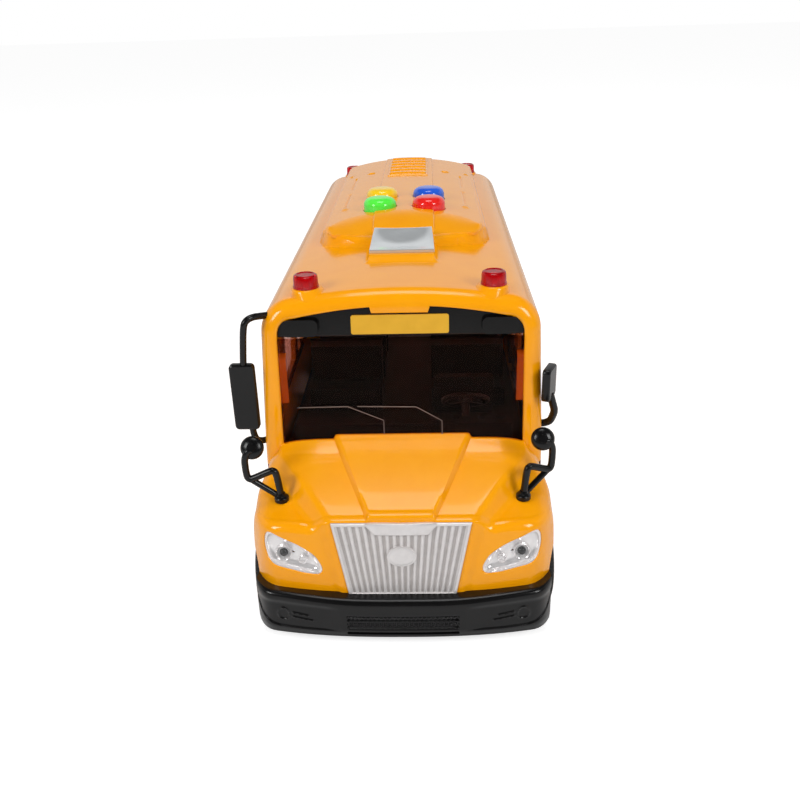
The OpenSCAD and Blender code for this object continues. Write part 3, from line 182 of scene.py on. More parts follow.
def line_distance(a, b, u, v):
    """Least distance from a point to the straight lines that join two lists of points."""
    e = b - a
    w = np.array((u, v)) - a
    t = np.clip((w * e).sum(1) / (e * e).sum(1), 0.0, 1.0)
    return np.hypot(*(w - e * t[:, None]).T).min()


def polygon_distance(a, u, v):
    """Distance from a point to a closed loop of points, positive outside."""
    b = np.roll(a, -1, axis=0)
    e = b - a
    rise = np.where(e[:, 1] == 0, 1e-9, e[:, 1])
    spans = (a[:, 1] > v) != (b[:, 1] > v)
    crossed = spans & (u < a[:, 0] + e[:, 0] * (v - a[:, 1]) / rise)
    near = line_distance(a, b, u, v)
    return -near if crossed.sum() % 2 else near


class Sheet:
    """A mesh under construction, in millimetres."""

    def __init__(self):
        self.v = []
        self.f = []

    def add(self, p):
        self.v.append(np.array(p, float))
        return len(self.v) - 1

    def grid(self, rows, close=False, flip=False):
        """Quads over rows of points, each listed backwards with flip; the outer side faces row x column direction."""
        index = [[self.add(p) for p in (reversed(row) if flip else row)] for row in rows]
        n = len(index[0])
        for r in range(len(index) - 1):
            for c in range(n if close else n - 1):
                d = (c + 1) % n
                self.f.append([index[r][c], index[r + 1][c], index[r + 1][d], index[r][d]])
        return index

    def cap(self, ring):
        """Closes a ring of vertex numbers with a fan."""
        middle = self.add(sum(self.v[i] for i in ring) / len(ring))
        for a, b in zip(ring, ring[1:] + ring[:1]):
            self.f.append([a, b, middle])

    def drop(self, test):
        """Deletes the faces whose middle point meets the test."""
        self.f = [f for f in self.f if not test(sum(self.v[i] for i in f) / len(f))]

    def clip(self, g):
        """Keeps the side where g is positive and returns the new edges."""
        inside = [g(p) > 0 for p in self.v]
        made = {}

        def crossing(i, j):
            key = (min(i, j), max(i, j))
            if key not in made:
                a, b = self.v[key[0]], self.v[key[1]]
                low, high = 0.0, 1.0
                for _ in range(16):
                    half = (low + high) / 2
                    if (g(mix(a, b, half)) > 0) == inside[key[0]]:
                        low = half
                    else:
                        high = half
                made[key] = self.add(mix(a, b, (low + high) / 2))
            return made[key]

        faces, cuts = [], []
        for f in self.f:
            if all(inside[i] for i in f):
                faces.append(f)
            elif any(inside[i] for i in f):
                loop, ends = [], {}
                for i, j in zip(f, f[1:] + f[:1]):
                    if inside[i]:
                        loop.append(i)
                    if inside[i] != inside[j]:
                        loop.append(crossing(i, j))
                        ends[inside[i]] = loop[-1]
                faces.append(loop)
                cuts.append((ends[True], ends[False]))
        self.f = faces
        return cuts

    def opening(self, g, axes, down, profile):
        """Cuts away where g is negative and turns the edge in by steps of (along g's slope, down)."""
        cuts = self.clip(g)
        rings = {}
        for i in {i for cut in cuts for i in cut}:
            p = self.v[i]
            t, d = slope(g, axes, p), down(p)
            rings[i] = [i] + [self.add(p + t * a + d * b) for a, b in profile]
        for x, y in cuts:
            for k in range(len(profile)):
                self.f.append([rings[y][k], rings[x][k], rings[x][k + 1], rings[y][k + 1]])

    def join(self, other):
        base = len(self.v)
        self.v += other.v
        self.f += [[i + base for i in f] for f in other.f]

    def turned(self, matrix):
        """A copy moved by a 4x4 matrix in millimetres."""
        out = Sheet()
        m = np.array(matrix)
        out.v = [m[:3, :3] @ p + m[:3, 3] for p in self.v]
        flip = np.linalg.det(m[:3, :3]) < 0
        out.f = [f[::-1] if flip else f[:] for f in self.f]
        return out


def unit(v):
    return v / np.linalg.norm(v)


def slope(g, axes, p):
    """Unit direction in which g falls at a point, within the given axes."""
    t = np.zeros(3)
    for k in axes:
        step = np.zeros(3)
        step[k] = 0.02
        t[k] = g(p - step) - g(p + step)
    return t / (np.linalg.norm(t) or 1.0)


def straight(*d):
    """The same direction at every point."""
    direction = np.array(d, float)
    return lambda p: direction


def inward(p):
    """Sideways to the middle of the bus."""
    return np.array((-1.0 if p[0] > 0 else 1.0, 0.0, 0.0))


def fillet(r, degrees):
    """Distances of a point on a rounded edge from its two faces."""
    a = math.radians(degrees)
    return r * (1 - math.cos(a)), r * (1 - math.sin(a))


def tube(points, r, n=14):
    """A round rod along points, with rounded ends."""
    pts = [np.array(p, float) for p in points]
    out = Sheet()
    rows = []
    side = None
    count = len(pts)
    for i, p in enumerate(pts):
        t = unit(pts[min(i + 1, count - 1)] - pts[max(i - 1, 0)])
        if side is None:
            side = np.cross(t, (0.0, 1.0, 0.0) if abs(t[1]) < 0.9 else (1.0, 0.0, 0.0))
        side = unit(side - t * side.dot(t))
        other = np.cross(t, side)
        ring = [p + r * (c * side + s * other) for c, s in circle(n)]
        if i == 0:
            for k in (0.35, 0.75):
                rows.append([p - t * r * 0.5 * (1 - k) + (q - p) * math.sqrt(k) for q in ring])
        rows.append(ring)
        if i == count - 1:
            for k in (0.75, 0.35):
                rows.append([p + t * r * 0.5 * (1 - k) + (q - p) * math.sqrt(k) for q in ring])
    index = out.grid(rows, close=True, flip=True)
    out.cap(index[0])
    out.cap(index[-1][::-1])
    return out


def lathe(profile, n=48, shape=None):
    """A turned form about Z from (radius, height) pairs, listed from the bottom up on the outside."""
    out = Sheet()
    rows = []
    for r, z in profile:
        ring = [np.array((r * c, r * s, z)) for c, s in circle(n)]
        rows.append([shape(p) for p in ring] if shape else ring)
    index = out.grid(rows, close=True, flip=True)
    if profile[0][0] > 1e-6:
        out.cap(index[0])
    if profile[-1][0] > 1e-6:
        out.cap(index[-1][::-1])
    return out


def at(x, y, z):
    return Matrix.Translation((x, y, z))


def calc(tree, kind, *values):
    """Output of a math node over numbers and other outputs."""
    node = tree.nodes.new("ShaderNodeMath")
    node.operation = kind
    for socket, value in zip(node.inputs, values):
        if isinstance(value, float):
            socket.default_value = value
        else:
            tree.links.new(value, socket)
    return node.outputs[0]


def placed(name, data):
    """A new object in the scene."""
    obj = bpy.data.objects.new(name, data)
    bpy.context.scene.collection.objects.link(obj)
    return obj


def setup(node, **values):
    """Sets the named inputs of a shader node."""
    for key, value in values.items():
        node.inputs[key.replace("_", " ")].default_value = value
    return node


def shown(name, sheet, slot, nodes=(), body="bus", sharp=32.0, look=None):
    """Puts a sheet into the scene as a piece that rides on a body, in its slot's look or its own."""
    merged, points, number = {}, [], []
    for p in sheet.v:
        number.append(merged.setdefault(tuple(int(round(c * MERGE_STEPS)) for c in p), len(points)))
        if number[-1] == len(points):
            points.append(tuple(float(c) * MM for c in p))
    loops = [list(dict.fromkeys(number[i] for i in f)) for f in sheet.f]
    faces = [loop for loop in loops if len(loop) > 2]
    used = sorted({i for f in faces for i in f})
    place = {i: k for k, i in enumerate(used)}
    mesh = bpy.data.meshes.new(name)
    mesh.from_pydata([points[i] for i in used], [], [[place[i] for i in f] for f in faces])
    mesh.validate()
    for p in mesh.polygons:
        p.use_smooth = True
    mesh.set_sharp_from_angle(angle=math.radians(sharp))
    mesh.materials.append(look or SLOT_LOOKS[slot])
    obj = placed(name, mesh)
    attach(obj, body)
    if nodes:
        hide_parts(*nodes)


# Materials

def linear(rgb):
    """Linear colour of an sRGB colour in 0 to 255."""
    return tuple(c / 12.92 if c <= 0.04045 else ((c + 0.055) / 1.055) ** 2.4 for c in (v / 255 for v in rgb))


def surface(name, low, high, rough, grain, bump, **sockets):
    """A moulded or cast surface: colour drifts between two tones, gloss varies, fine grain in the relief."""
    mat = bpy.data.materials.new(name)
    mat.use_nodes = True
    tree = mat.node_tree
    new = tree.nodes.new
    shader = setup(tree.nodes["Principled BSDF"], **sockets)
    coords = new("ShaderNodeTexCoord")
    drift = setup(new("ShaderNodeTexNoise"), Scale=grain * 0.12, Detail=3.0)
    ramp = new("ShaderNodeValToRGB")
    for stop, position, tone in zip(ramp.color_ramp.elements, (0.3, 0.7), (low, high)):
        stop.position = position
        stop.color = (*linear(tone), 1.0)
    fine = setup(new("ShaderNodeTexNoise"), Scale=grain, Detail=4.0)
    gloss = setup(new("ShaderNodeMapRange"), To_Min=rough[0], To_Max=rough[1])
    relief = setup(new("ShaderNodeBump"), Strength=bump, Distance=0.00005)
    for a, b in (((coords, "Object"), (drift, "Vector")), ((coords, "Object"), (fine, "Vector")),
                 ((drift, "Fac"), (ramp, "Fac")), ((ramp, "Color"), (shader, "Base Color")),
                 ((fine, "Fac"), (gloss, "Value")), ((gloss, "Result"), (shader, "Roughness")),
                 ((fine, "Fac"), (relief, "Height")), ((relief, "Normal"), (shader, "Normal"))):
        tree.links.new(a[0].outputs[a[1]], b[0].inputs[b[1]])
    return mat


BUS_YELLOW = ((248, 160, 3), (251, 165, 6))
BUS_GLOSS = {"Specular_IOR_Level": 0.28, "Coat_Weight": 0.3}
SLOT_LOOKS = {
    "body_yellow": surface("shell_plastic", *BUS_YELLOW, (0.12, 0.2), 900.0, 0.03, Coat_Roughness=0.03, **BUS_GLOSS),
    "black_satin": surface("black_plastic", (12, 12, 13), (16, 15, 15), (0.2, 0.28), 2600.0, 0.1,
                           Specular_IOR_Level=0.34),
    "sign_yellow": surface("sign_plastic", (222, 168, 36), (229, 175, 42), (0.3, 0.4), 1800.0, 0.1),
    "silver": surface("silver_paint", (220, 216, 215), (228, 224, 223), (0.28, 0.38), 3200.0, 0.08, Metallic=0.4),
    "bright": surface("bright_plating", (224, 228, 230), (232, 236, 238), (0.14, 0.22), 1500.0, 0.02, Metallic=0.6),
    "clear": surface("clear_lens", (244, 246, 250), (250, 251, 254), (0.02, 0.05), 1200.0, 0.01, Alpha=0.05, IOR=1.45),
    "smoke_clear": surface("smoke_glass", (196, 152, 140), (202, 158, 146), (0.0, 0.015), 500.0, 0.004,
                           Transmission_Weight=1.0, IOR=1.12),
    "red_clear": surface("red_lamp", (190, 4, 16), (204, 8, 22), (0.04, 0.08), 1500.0, 0.03,
                         Transmission_Weight=0.6, IOR=1.4),
    "led": surface("lamp_light", (236, 228, 214), (244, 238, 226), (0.2, 0.3), 1500.0, 0.05),
    "silicone": surface("soft_rubber", (196, 194, 190), (206, 204, 200), (0.5, 0.6), 2000.0, 0.15),
    "board": surface("board_green", (22, 84, 48), (30, 98, 58), (0.35, 0.5), 1400.0, 0.1),
    "steel": surface("steel", (176, 178, 182), (190, 192, 196), (0.25, 0.38), 4200.0, 0.15, Metallic=1.0),
    "cone": surface("speaker_cone", (30, 29, 28), (44, 42, 40), (0.6, 0.75), 3000.0, 0.4),
    "cell": surface("cell_sleeve", (52, 96, 148), (62, 108, 160), (0.25, 0.35), 1200.0, 0.05),
    "brass_tin": surface("tinned_brass", (196, 184, 142), (208, 196, 154), (0.25, 0.35), 2600.0, 0.1, Metallic=1.0),
    "tyre": surface("tyre_rubber", (17, 17, 18), (24, 23, 23), (0.5, 0.65), 2200.0, 0.3, Specular_IOR_Level=0.35),
    "hub": surface("hub_plastic", (232, 148, 6), (242, 156, 10), (0.25, 0.35), 1500.0, 0.08),
    "nylon": surface("nylon", (226, 224, 214), (236, 234, 226), (0.4, 0.5), 1800.0, 0.1),
}
for colour, low, high in (("green", (84, 246, 66), (96, 252, 78)), ("red", (236, 28, 20), (242, 34, 26)),
                          ("yellow", (254, 206, 24), (255, 213, 34)), ("blue", (26, 86, 214), (34, 96, 222))):
    SLOT_LOOKS[colour] = surface(colour + "_button", low, high, (0.14, 0.22), 1500.0, 0.04, Coat_Weight=0.4)

# Looks of pieces that differ from the rest of their slot
POD = surface("console_plastic", *BUS_YELLOW, (0.16, 0.26), 900.0, 0.04, Coat_Roughness=0.05, **BUS_GLOSS)
GLOSS_BLACK = surface("gloss_black", (11, 10, 10), (15, 14, 14), (0.12, 0.2), 1200.0, 0.03, Specular_IOR_Level=0.4)
PLATE = surface("silver_shadow", (176, 170, 168), (186, 180, 178), (0.35, 0.45), 3200.0, 0.08, Metallic=0.3)
CHROME = surface("satin_plating", (236, 233, 233), (242, 239, 239), (0.12, 0.18), 1800.0, 0.01, Metallic=0.45)
# Wiper lines: painted highlight, a lighter colour standing in for the light caught along the moulded wipers' edges
WIPER_EDGE_HIGHLIGHT = surface("wiper_edge_highlight", (122, 104, 98), (138, 120, 113), (0.15, 0.25), 1500.0, 0.03)
TRIM = surface("cab_trim", (12, 11, 11), (18, 17, 16), (0.45, 0.6), 2000.0, 0.3)
NODE_LOOKS = {"interior_deck": TRIM, "dashboard": TRIM, "steering_wheel": TRIM, "header_panel": GLOSS_BLACK}
NODE_SLOTS = {s["node"]: s["material_slot"] for s in frame["record"]["subparts"]}

for node_name, node in frame["nodes"].items():
    node.data.materials.clear()
    node.data.materials.append(NODE_LOOKS.get(node_name, SLOT_LOOKS[NODE_SLOTS[node_name]]))


# Cab shell

SOFT_EDGE = ((0.12, 0.03), (0.3, 0.3))


def side_half(z):
    """Half width of the cab at a height."""
    return HALF - TUMBLE * clamp((z - BELT) / (SHOULDER_Z - BELT))


def section_point(col, s):
    """Point (x, z) of the cab's cross section at a column, s inside the outer skin."""
    kind, t, sx = col
    r = SHOULDER_R - s
    if kind == "lip":
        return sx * (t[0] - s), t[1]
    if kind == "side":
        return sx * (side_half(t) - s), t
    centre = HALF - TUMBLE - SHOULDER_R
    if kind == "arc":
        return sx * (centre + r * math.cos(t)), SHOULDER_Z + r * math.sin(t)
    xc = centre + r * math.cos(SHOULDER_END)
    zc = SHOULDER_Z + r * math.sin(SHOULDER_END)
    return sx * xc * t, mix(ROOF - s, zc, t * t)


def cab_columns():
    """Columns of the cab from the lip under one side over the roof to the other lip."""
    half = [("lip", (HALF - dx, z)) for dx, z in ((2.0, 24.0), (2.0, 15.3), (1.7, SILL), (0.3, SILL))]
    half += [("side", z) for z in steps((15.3, 33, 13), (33, 45.5, 5), (45.5, BELT, 6), (BELT, 62, 3), (62, 94, 29),
                                        (94, SHOULDER_Z, 4))]
    half += [("arc", math.radians(a)) for a in steps((80 / 14, 80, 13))]
    xs = steps((38, 33, 6), (33, 15, 14), (15, 11.2, 5)) + [10.49, 9.9] + steps((9.2, 0, 8))
    half += [("crown", x / CROWN_HALF) for x in xs if x < CROWN_HALF]
    return [(k, t, 1.0) for k, t in half] + [(k, t, -1.0) for k, t in reversed(half[:-1])]


def opening_point(col):
    """Point (x, h) of the windshield opening that belongs to a column."""
    kind, t, sx = col
    if kind in ("lip", "side"):
        z = t if kind == "side" else t[1]
        return sx * 44.0, (z - BELT) * 41.0 / (SHOULDER_Z - BELT)
    if kind == "arc":
        a = t * 90 / 80
        return sx * (38 + 6 * math.cos(a)), 41 + 6.16 * math.sin(a)
    x = CROWN_HALF * t
    return sx * x, SIGN_NOTCH_H if x < SIGN_NOTCH_HALF else 51.2 - 0.0028 * x * x


def screen(x, h, d):
    """Point on the leaning plane of the windshield."""
    return np.array((x, COWL - d * math.cos(RAKE) + h * math.sin(RAKE), BELT + d * math.sin(RAKE) + h * math.cos(RAKE)))


def lean_y(z):
    """Front of the cab at a height."""
    return COWL + SHEAR * (z - BELT)


def console_foot(ax):
    """Front edge of the console where it meets its base."""
    return -31.6 + 3.5 * (ax / 31.5) ** 2 + 5.0 * max(0.0, (ax - 28.5) / 4.5) ** 2.2


def roof_relief(x, y, z):
    """Height of the roof with the console base and the light platform standing on it."""
    ax = abs(x)
    foot = -38.4 + 2.55 * (ax / 15.5) ** 2 + 6.0 * max(0.0, (ax - 32) / 4) ** 2
    front = (y - foot) / max(console_foot(ax) - foot, 2.0)
    t = clamp(min(front, (36.7 - ax) / 2.6, (131.5 - y) / 3.0))
    out = z
    if t > 0:
        out = max(out, mix(z - 0.8, BASE_Z, (1 - (1 - t) ** 2.2) ** 0.6))
    t = clamp(min((y + 61.8) / 4.6, (13.7 - ax) / 0.55))
    if t > 0 and y < -24:
        out = max(out, mix(z - 0.3, PLATFORM_Z, t))
    return out


def build_cab():
    """Skin of the cab: windshield frame, brow, sides, roof and rear, with its openings turned in."""
    cols = cab_columns()
    shell = Sheet()
    rows = [[screen(*opening_point(c), -depth) for c in cols] for depth in (6.0, 3.0, 0.9)]
    for a in (30, 60, 90):
        grow, back = fillet(FRAME_R, a)
        row = []
        for x, h in map(opening_point, cols):
            n = unit(np.array((x * 1.15, h - 20.0)))
            row.append(screen(x + n[0] * grow, h + n[1] * grow, -back))
        rows.append(row)
    for a in (90, 78, 66, 54, 42, 30, 18, 8):
        inset, back = fillet(BROW_R, a)
        rows.append([(x, lean_y(z) + back, z) for x, z in (section_point(c, inset) for c in cols)])
    first, last = COWL + BROW_R, REAR - REAR_R
    marks = steps((first, -70, 23), (-70, -18, 60), (-18, 60, 60), (60, last, 58))
    flat = [section_point(c, 0.0) for c in cols]
    for y in marks:
        w = (y - first) / (last - first)
        row = []
        for x, z in flat:
            py = mix(first + SHEAR * max(z - BELT, -13), last, w)
            pz = roof_relief(x, py, z) if z > ROOF_FROM else z
            row.append((x, py, pz))
        rows.append(row)
    for a in (12, 26, 40, 54, 68, 80, 90):
        inset, back = fillet(REAR_R, a)
        rows.append([(x, REAR - back, z) for x, z in (section_point(c, inset) for c in cols)])
    shell.grid(rows)
    shell.drop(lambda p: p[2] < 50 and p[1] < -101.6)

    rear = Sheet()
    loop = [section_point(c, REAR_R) for c in cols if c[0] != "lip"]
    low = loop[-1]
    loop += [(mix(low[0], -low[0], k / 24), SILL) for k in range(1, 24)]
    rear.grid([[(x * (1 - t), REAR, mix(z, 76.0, t)) for x, z in loop] for t in steps((0, 0.9, 34))], close=True)

    def rear_window(p):
        return rounded_rect(p[0], p[2] - REAR_WINDOW_Z, *REAR_WINDOW_SIZE)

    def windows(p):
        if p[2] > ROOF_FROM:
            return FAR
        k = max(0, min(WINDOWS - 1, round((p[1] - WINDOW_Y) / WINDOW_PITCH)))
        return rounded_rect(p[1] - WINDOW_Y - WINDOW_PITCH * k, p[2] - WINDOW_Z, *WINDOW_SIZE)

    def arch(p):
        return min(math.hypot(p[1] - y, p[2] - WHEEL_R) for y in AXLES) - ARCH_R

    profile = (*SOFT_EDGE, (0.3, 2.0))
    rear.opening(rear_window, (0, 2), straight(0, -1, 0), profile)
    for g in (windows, arch):
        shell.opening(g, (1, 2), inward, profile)
    shell.join(rear)
    return shell


# Hood, fenders and nose

PANEL_U = 0.4
# How far the fenders lie below the hood, by distance ahead of the cowl
FALL = ((0, 5, 17, 27, 33), (1.5, 3.0, 5.0, 4.0, 3.2))


def hood_z(v):
    """Height of the hood, v ahead of the cowl."""
    return BELT - 11 * max(0.0, v - 5) / 28


def front_v(x):
    """Reach of the nose ahead of the cowl."""
    ax = abs(x)
    return 37.5 - 2.5 * max(0.0, (ax - 22) / 24) ** 2 - 8.5 * max(0.0, (ax - 42) / 11) ** 2.6


def flank(v):
    """Half width over the fenders."""
    return HALF + 2.3 * smooth(v / 12) if v > -1 else HALF - 0.12


def panel_half(v):
    """Half width of the raised hood panel."""
    return mix(25.8, 12.0, clamp((v + 1) / 34.5))


def front_height(x, v):
    """Height of the hood and fenders before the rounding of the flanks."""
    ax = abs(x)
    hood = mix(HALF - 4, 25.0, clamp(v / 33))
    z = hood_z(v) - np.interp(v, *FALL) * smooth((ax - hood) / 6)
    z -= 0.9 * math.exp(-((ax - hood - 3.5) / 2.4) ** 2) * smooth((v - 6) / 10)
    z += 2.4 * clamp((5.5 - v) / 5.0) * smooth((47 - ax) / 2.5)
    rise = clamp((panel_half(v) - ax) / 1.1)
    if rise > 0:
        z = max(z, mix(z, 63 - 13.9 * (v + 1) / 34.5, rise))
    return mix(z, min(z, 57.0), smooth((-0.22 - v) / 0.1) * smooth((44.6 - ax) / 0.6))


def nose_y(x, z):
    """Face of the nose, which leans back."""
    return COWL - front_v(x) + NOSE_LEAN * (z - LEAN_Z)


def front_x(u, v):
    """Side place of a column: the panel edges are columns of their own."""
    au = abs(u)
    p = panel_half(v)
    x = p * au / PANEL_U if au < PANEL_U else mix(p, flank(v), (au - PANEL_U) / (1 - PANEL_U))
    return math.copysign(x, u)


def front_z(x, v):
    """Height of the hood and fenders with rounded flanks."""
    f = min(1.0, abs(x) / flank(v))
    return NOSE_Z + (front_height(x, v) - NOSE_Z) * (1 - f ** 8) ** 0.125


def grille_half(h):
    """Half width of the grille, h up its face."""
    return mix(18.5, 24.0, (h + 1) / 28)


def grille_point(x, h, d):
    """Point h up the leaning grille and d ahead of it."""
    return np.array((x, GRILLE_Y + LEAN_SIN * h - LEAN_COS * d, GRILLE_Z + LEAN_COS * h + LEAN_SIN * d))


# Outline of the headlights, as side places and heights
LIGHT = np.array(spline([(47.4, 40.5), (45.4, 41.6), (40.7, 39.8), (35.4, 37.6), (30.5, 34.4), (28.2, 31.2),
                         (27.4, 28.6), (28.6, 26.7), (33.2, 26.8), (38.9, 27.9), (44.4, 29.0), (46.8, 30.8),
                         (48.1, 34.6), (48.2, 38.0)], 6, closed=True))


def build_front():
    """Skin of the nose, hood and fenders: each column runs up the nose and back over the hood."""
    bend = 0.93
    us = steps((0, 0.36, 14), (0.36, 0.385, 2), (0.385, PANEL_U, 2), (PANEL_U, 0.62, 12), (0.62, bend, 16))
    for a in steps((0, 90, 34)):
        u = mix(bend, 1.0, math.sin(math.radians(a)) ** 0.6)
        if u > us[-1] + 1e-5:
            us.append(u)
    lines = []
    for u in mirrored(us[::-1]):
        v = 34.0
        for _ in range(6):
            x = front_x(u, v)
            top = front_z(x, v)
            v = front_v(x) - NOSE_LEAN * (top - LEAN_Z) - 0.01
        x = front_x(u, v)
        r = mix(1.8, 4.0, smooth((abs(x) - 24) / 6))
        for _ in range(4):
            top = front_z(front_x(u, v - r), v - r)
            r = min(r, 0.48 * max(0.02, top - NOSE_Z))
        line = [(x * (1 - dy / 52), nose_y(x, NOSE_Z) + dy, min(NOSE_Z + dz, top))
                for dy, dz in ((2.0, 4.0), (2.0, 0.2), (0.3, 0.0))]
        for k in range(30):
            z = mix(NOSE_Z + 0.2, max(top - r, NOSE_Z + 0.2), k / 29)
            line.append((x, nose_y(x, z), z))
        z0 = max(top - r, NOSE_Z)
        y0 = nose_y(x, z0)
        for k in range(1, 9):
            a = math.pi / 2 * k / 9
            line.append((x, y0 + r * (1 - math.cos(a)), z0 + r * math.sin(a)))
        v0 = COWL - (y0 + r)
        for vv in [mix(v0, -0.2, t) for t in steps((0, 1, 48))] + [-0.36, -1.0, -2.0, -5.0]:
            xx = front_x(u, vv)
            line.append((xx, COWL - vv, front_z(xx, vv)))
        lines.append(line)
    front = Sheet()
    front.grid(list(zip(*lines)))
    for p in front.v:
        if p[1] < -132 and abs(p[0]) < 30:
            h = (p[2] - GRILLE_Z) / LEAN_COS
            band = max(abs(p[0]) - grille_half(h), h - 27.0)
            if p[1] < nose_y(p[0], p[2]) + 0.6:
                p[1] -= 0.8 * smooth((3.6 - band) / 0.7)

    def hole(p):
        if p[1] > -130 or abs(p[0]) > 26:
            return FAR
        h = (p[2] - GRILLE_Z) / LEAN_COS
        return max(abs(p[0]) - grille_half(h) - 0.15, h - 27.1, -0.6 - h)

    def lights(p):
        if p[1] > -124 or abs(p[0]) < 24:
            return FAR
        return polygon_distance(LIGHT, abs(p[0]), p[2])

    def arch(p):
        if abs(p[0]) < 36 or p[1] < -139.3:
            return FAR
        return math.hypot(p[1] - AXLES[0], p[2] - WHEEL_R) - ARCH_R

    for g, depth in ((hole, 3.0), (lights, 2.6)):
        front.opening(g, (0, 2), straight(0, 1, 0), ((0.1, 0.04), (0.28, 0.28), (0.3, depth)))
    front.opening(arch, (1, 2), inward, (*SOFT_EDGE, (0.3, 3.0)))
    return front


BOSS = ((7.9, -5.5), (7.2, -3.5), (6.3, -1.8), (5.75, -0.7), (5.5, -0.2), (5.2, 0.05), (4.5, 0.1))


def build_bosses():
    """Flared feet under the roof lamps, leaning to the middle."""
    out = Sheet()
    for x, y, z in LAMPS:
        def flare(p, sx=math.copysign(1.0, x)):
            return p - np.array((sx * 2.0 * clamp(-p[2] / 4.5), 0.0, 0.0))
        form = lathe(BOSS, 40, flare)
        out.join(form.turned(at(x, y, z)))
    return out


body = build_cab()
body.join(build_front())
body.join(build_bosses())
shown("shell_skin", body, "body_yellow", ("body_shell",), sharp=38)


# Roof console and buttons

def console_height(x, y):
    """Height of the console with its middle strip, ribbed hatch and small marks."""
    ax = abs(x)
    top = CONSOLE_TOP - 4.2 * (ax / 33) ** 2.2
    edge = -11.5 - 1.2 * (ax / 18.5) ** 2 - 7.5 * max(0.0, (ax - 22) / 11) ** 2
    foot = console_foot(ax)
    t = clamp((y - foot) / max(edge - foot, 3.0))
    z = mix(CONSOLE_EDGE_Z, top, 1 - (1 - t) ** 1.45)
    tail = clamp((CONSOLE_TAIL - y) / 4.5)
    z = mix(CONSOLE_EDGE_Z, z, math.sin(tail * math.pi / 2) ** 0.8)
    strip = smooth((13.1 - ax) / 0.45)
    z += 0.65 * strip * smooth((y + 30) / 3) * tail
    if HATCH_FRONT < y < HATCH_BACK and ax < HATCH_HALF:
        z += 0.55 * smooth(min(y - HATCH_FRONT, HATCH_BACK - y, HATCH_HALF - ax) / 0.5)
        start, end = HATCH_FRONT + 3, HATCH_HALF - 1
        phase = (y - start) % RIB_PITCH
        if y > start and phase < RIB_W and ax < end:
            z += 0.7 * smooth(min(phase, RIB_W - phase, end - ax) / 0.5)
    for cx, y0, y1, w, rise in CONSOLE_MARKS:
        inside = min(w - abs(ax - cx), y - y0, y1 - y)
        if inside > 0:
            z += rise * smooth(inside / 0.6)
    return z


def build_console():
    """Top skin of the console with its edge and button holes turned down."""
    xs = mirrored(steps((33.6, 30, 6), (30, 13.6, 20), (13.6, 12.4, 6), (12.4, 10.8, 3), (10.8, 9, 6), (9, 0, 10)))
    ys = steps((-32, -4, 34), (-4, 66, 64), (66, 120, 108), (120, 127.2, 10))
    top = Sheet()
    top.grid([[(x, y, console_height(x, y)) for x in xs] for y in ys])

    def outline(p):
        return min(-rounded_rect(p[0], p[1] - 46, 67, 162, 6), p[1] - console_foot(abs(p[0])))

    def holes(p):
        return min(math.hypot(p[0] - x, p[1] - y) for x, y in BUTTONS.values()) - BUTTON_HOLE_R

    for g, profile in ((outline, ((0.12, 0.1), (0.15, 0.4), (0.15, 1.3))),
                       (holes, ((0.1, 0.04), (0.25, 0.3), (0.25, 2.4)))):
        top.opening(g, (0, 1), straight(0, 0, -1), profile)
    return top


shown("console_skin", build_console(), "body_yellow", ("roof_console",), sharp=34, look=POD)


def build_cap():
    """Domed button cap with the flange that keeps it under the console."""
    rise = [(CAP_FLANGE_R, 120.2), (CAP_FLANGE_R, 121.3), (CAP_R, 121.4), (CAP_R, CAP_DOME_Z)]
    for a in steps((0, math.pi / 2, 11))[1:-1]:
        rise.append((CAP_R * math.cos(a) ** 0.5, CAP_DOME_Z + CAP_DOME_H * math.sin(a)))
    return lathe(rise + [(0.0, CAP_DOME_Z + CAP_DOME_H)], 56)


for colour, (bx, by) in BUTTONS.items():
    shown("cap_" + colour, build_cap().turned(at(bx, by, 0)), colour, ("button_" + colour,),
          body="button_%s_body" % colour)


# Roof lamps and light tray

LAMP = ((4.2, 0.12), (4.65, 0.15), (4.65, 0.8), (4.5, 0.9), (4.4, 3.8), (4.2, 4.45), (3.75, 4.8), (3.3, 4.88),
        (3.0, 4.6), (0.0, 4.55))

for name, pair, node_name in (("lamps_ahead", LAMPS[:2], "roof_lamps_front"),
                              ("lamps_behind", LAMPS[2:], "roof_lamps_rear")):
    lamps = Sheet()
    for place in pair:
        lamps.join(lathe(LAMP, 44).turned(at(*place)))
    shown(name, lamps, "red_clear", (node_name,))


def tray_height(u, t):
    """Plain rounded dish that rises to the back: u across from -1 to 1, t from front to back."""
    x, y = u * 12.4 / 11.5, (2 * t - 1) / 0.93
    return TRAY_Z + 3.2 * t ** 1.3 - 1.8 * max(0.0, 1 - x * x) * max(0.0, 1 - y * y)


def build_tray():
    """The dish with rounded edges and straight sides."""
    top = Sheet()
    rows = []
    for t in steps((0, 1, 36)):
        half = mix(12.5, 11.6, t)
        rows.append([np.array((u * half, TRAY_FRONT + TRAY_LENGTH * t - 1.5 * t * (1 - u * u), tray_height(u, t)))
                     for u in steps((1, -1, 44))])
    top.grid(rows)
    loop = [r[0] for r in rows] + rows[-1][1:]
    loop += [r[-1] for r in reversed(rows[:-1])] + list(reversed(rows[0][1:-1]))
    middle = np.array((0.0, -43.0, 0.0))
    rings = []
    for grow, drop in ((0.0, 0.0), (0.35, 0.0), (0.5, 0.35), (0.5, 9.0)):
        ring = []
        for p in loop:
            q = p + unit((p - middle) * (1, 1, 0)) * grow
            q[2] = max(TRAY_FOOT_Z, p[2] - drop)
            ring.append(q)
        rings.append(ring)
    top.grid(rings, close=True)
    return top


shown("light_tray", build_tray(), "bright", ("roof_light_tray",), sharp=14)


# Grille

def build_grille():
    """Back plate behind the ribs."""
    plate = Sheet()
    plate.grid([[grille_point(grille_half(h) * u, h, 0.5) for u in steps((1, -1, 12))]
                for h in steps((GRILLE_LOW, GRILLE_HIGH, 14))])
    return plate


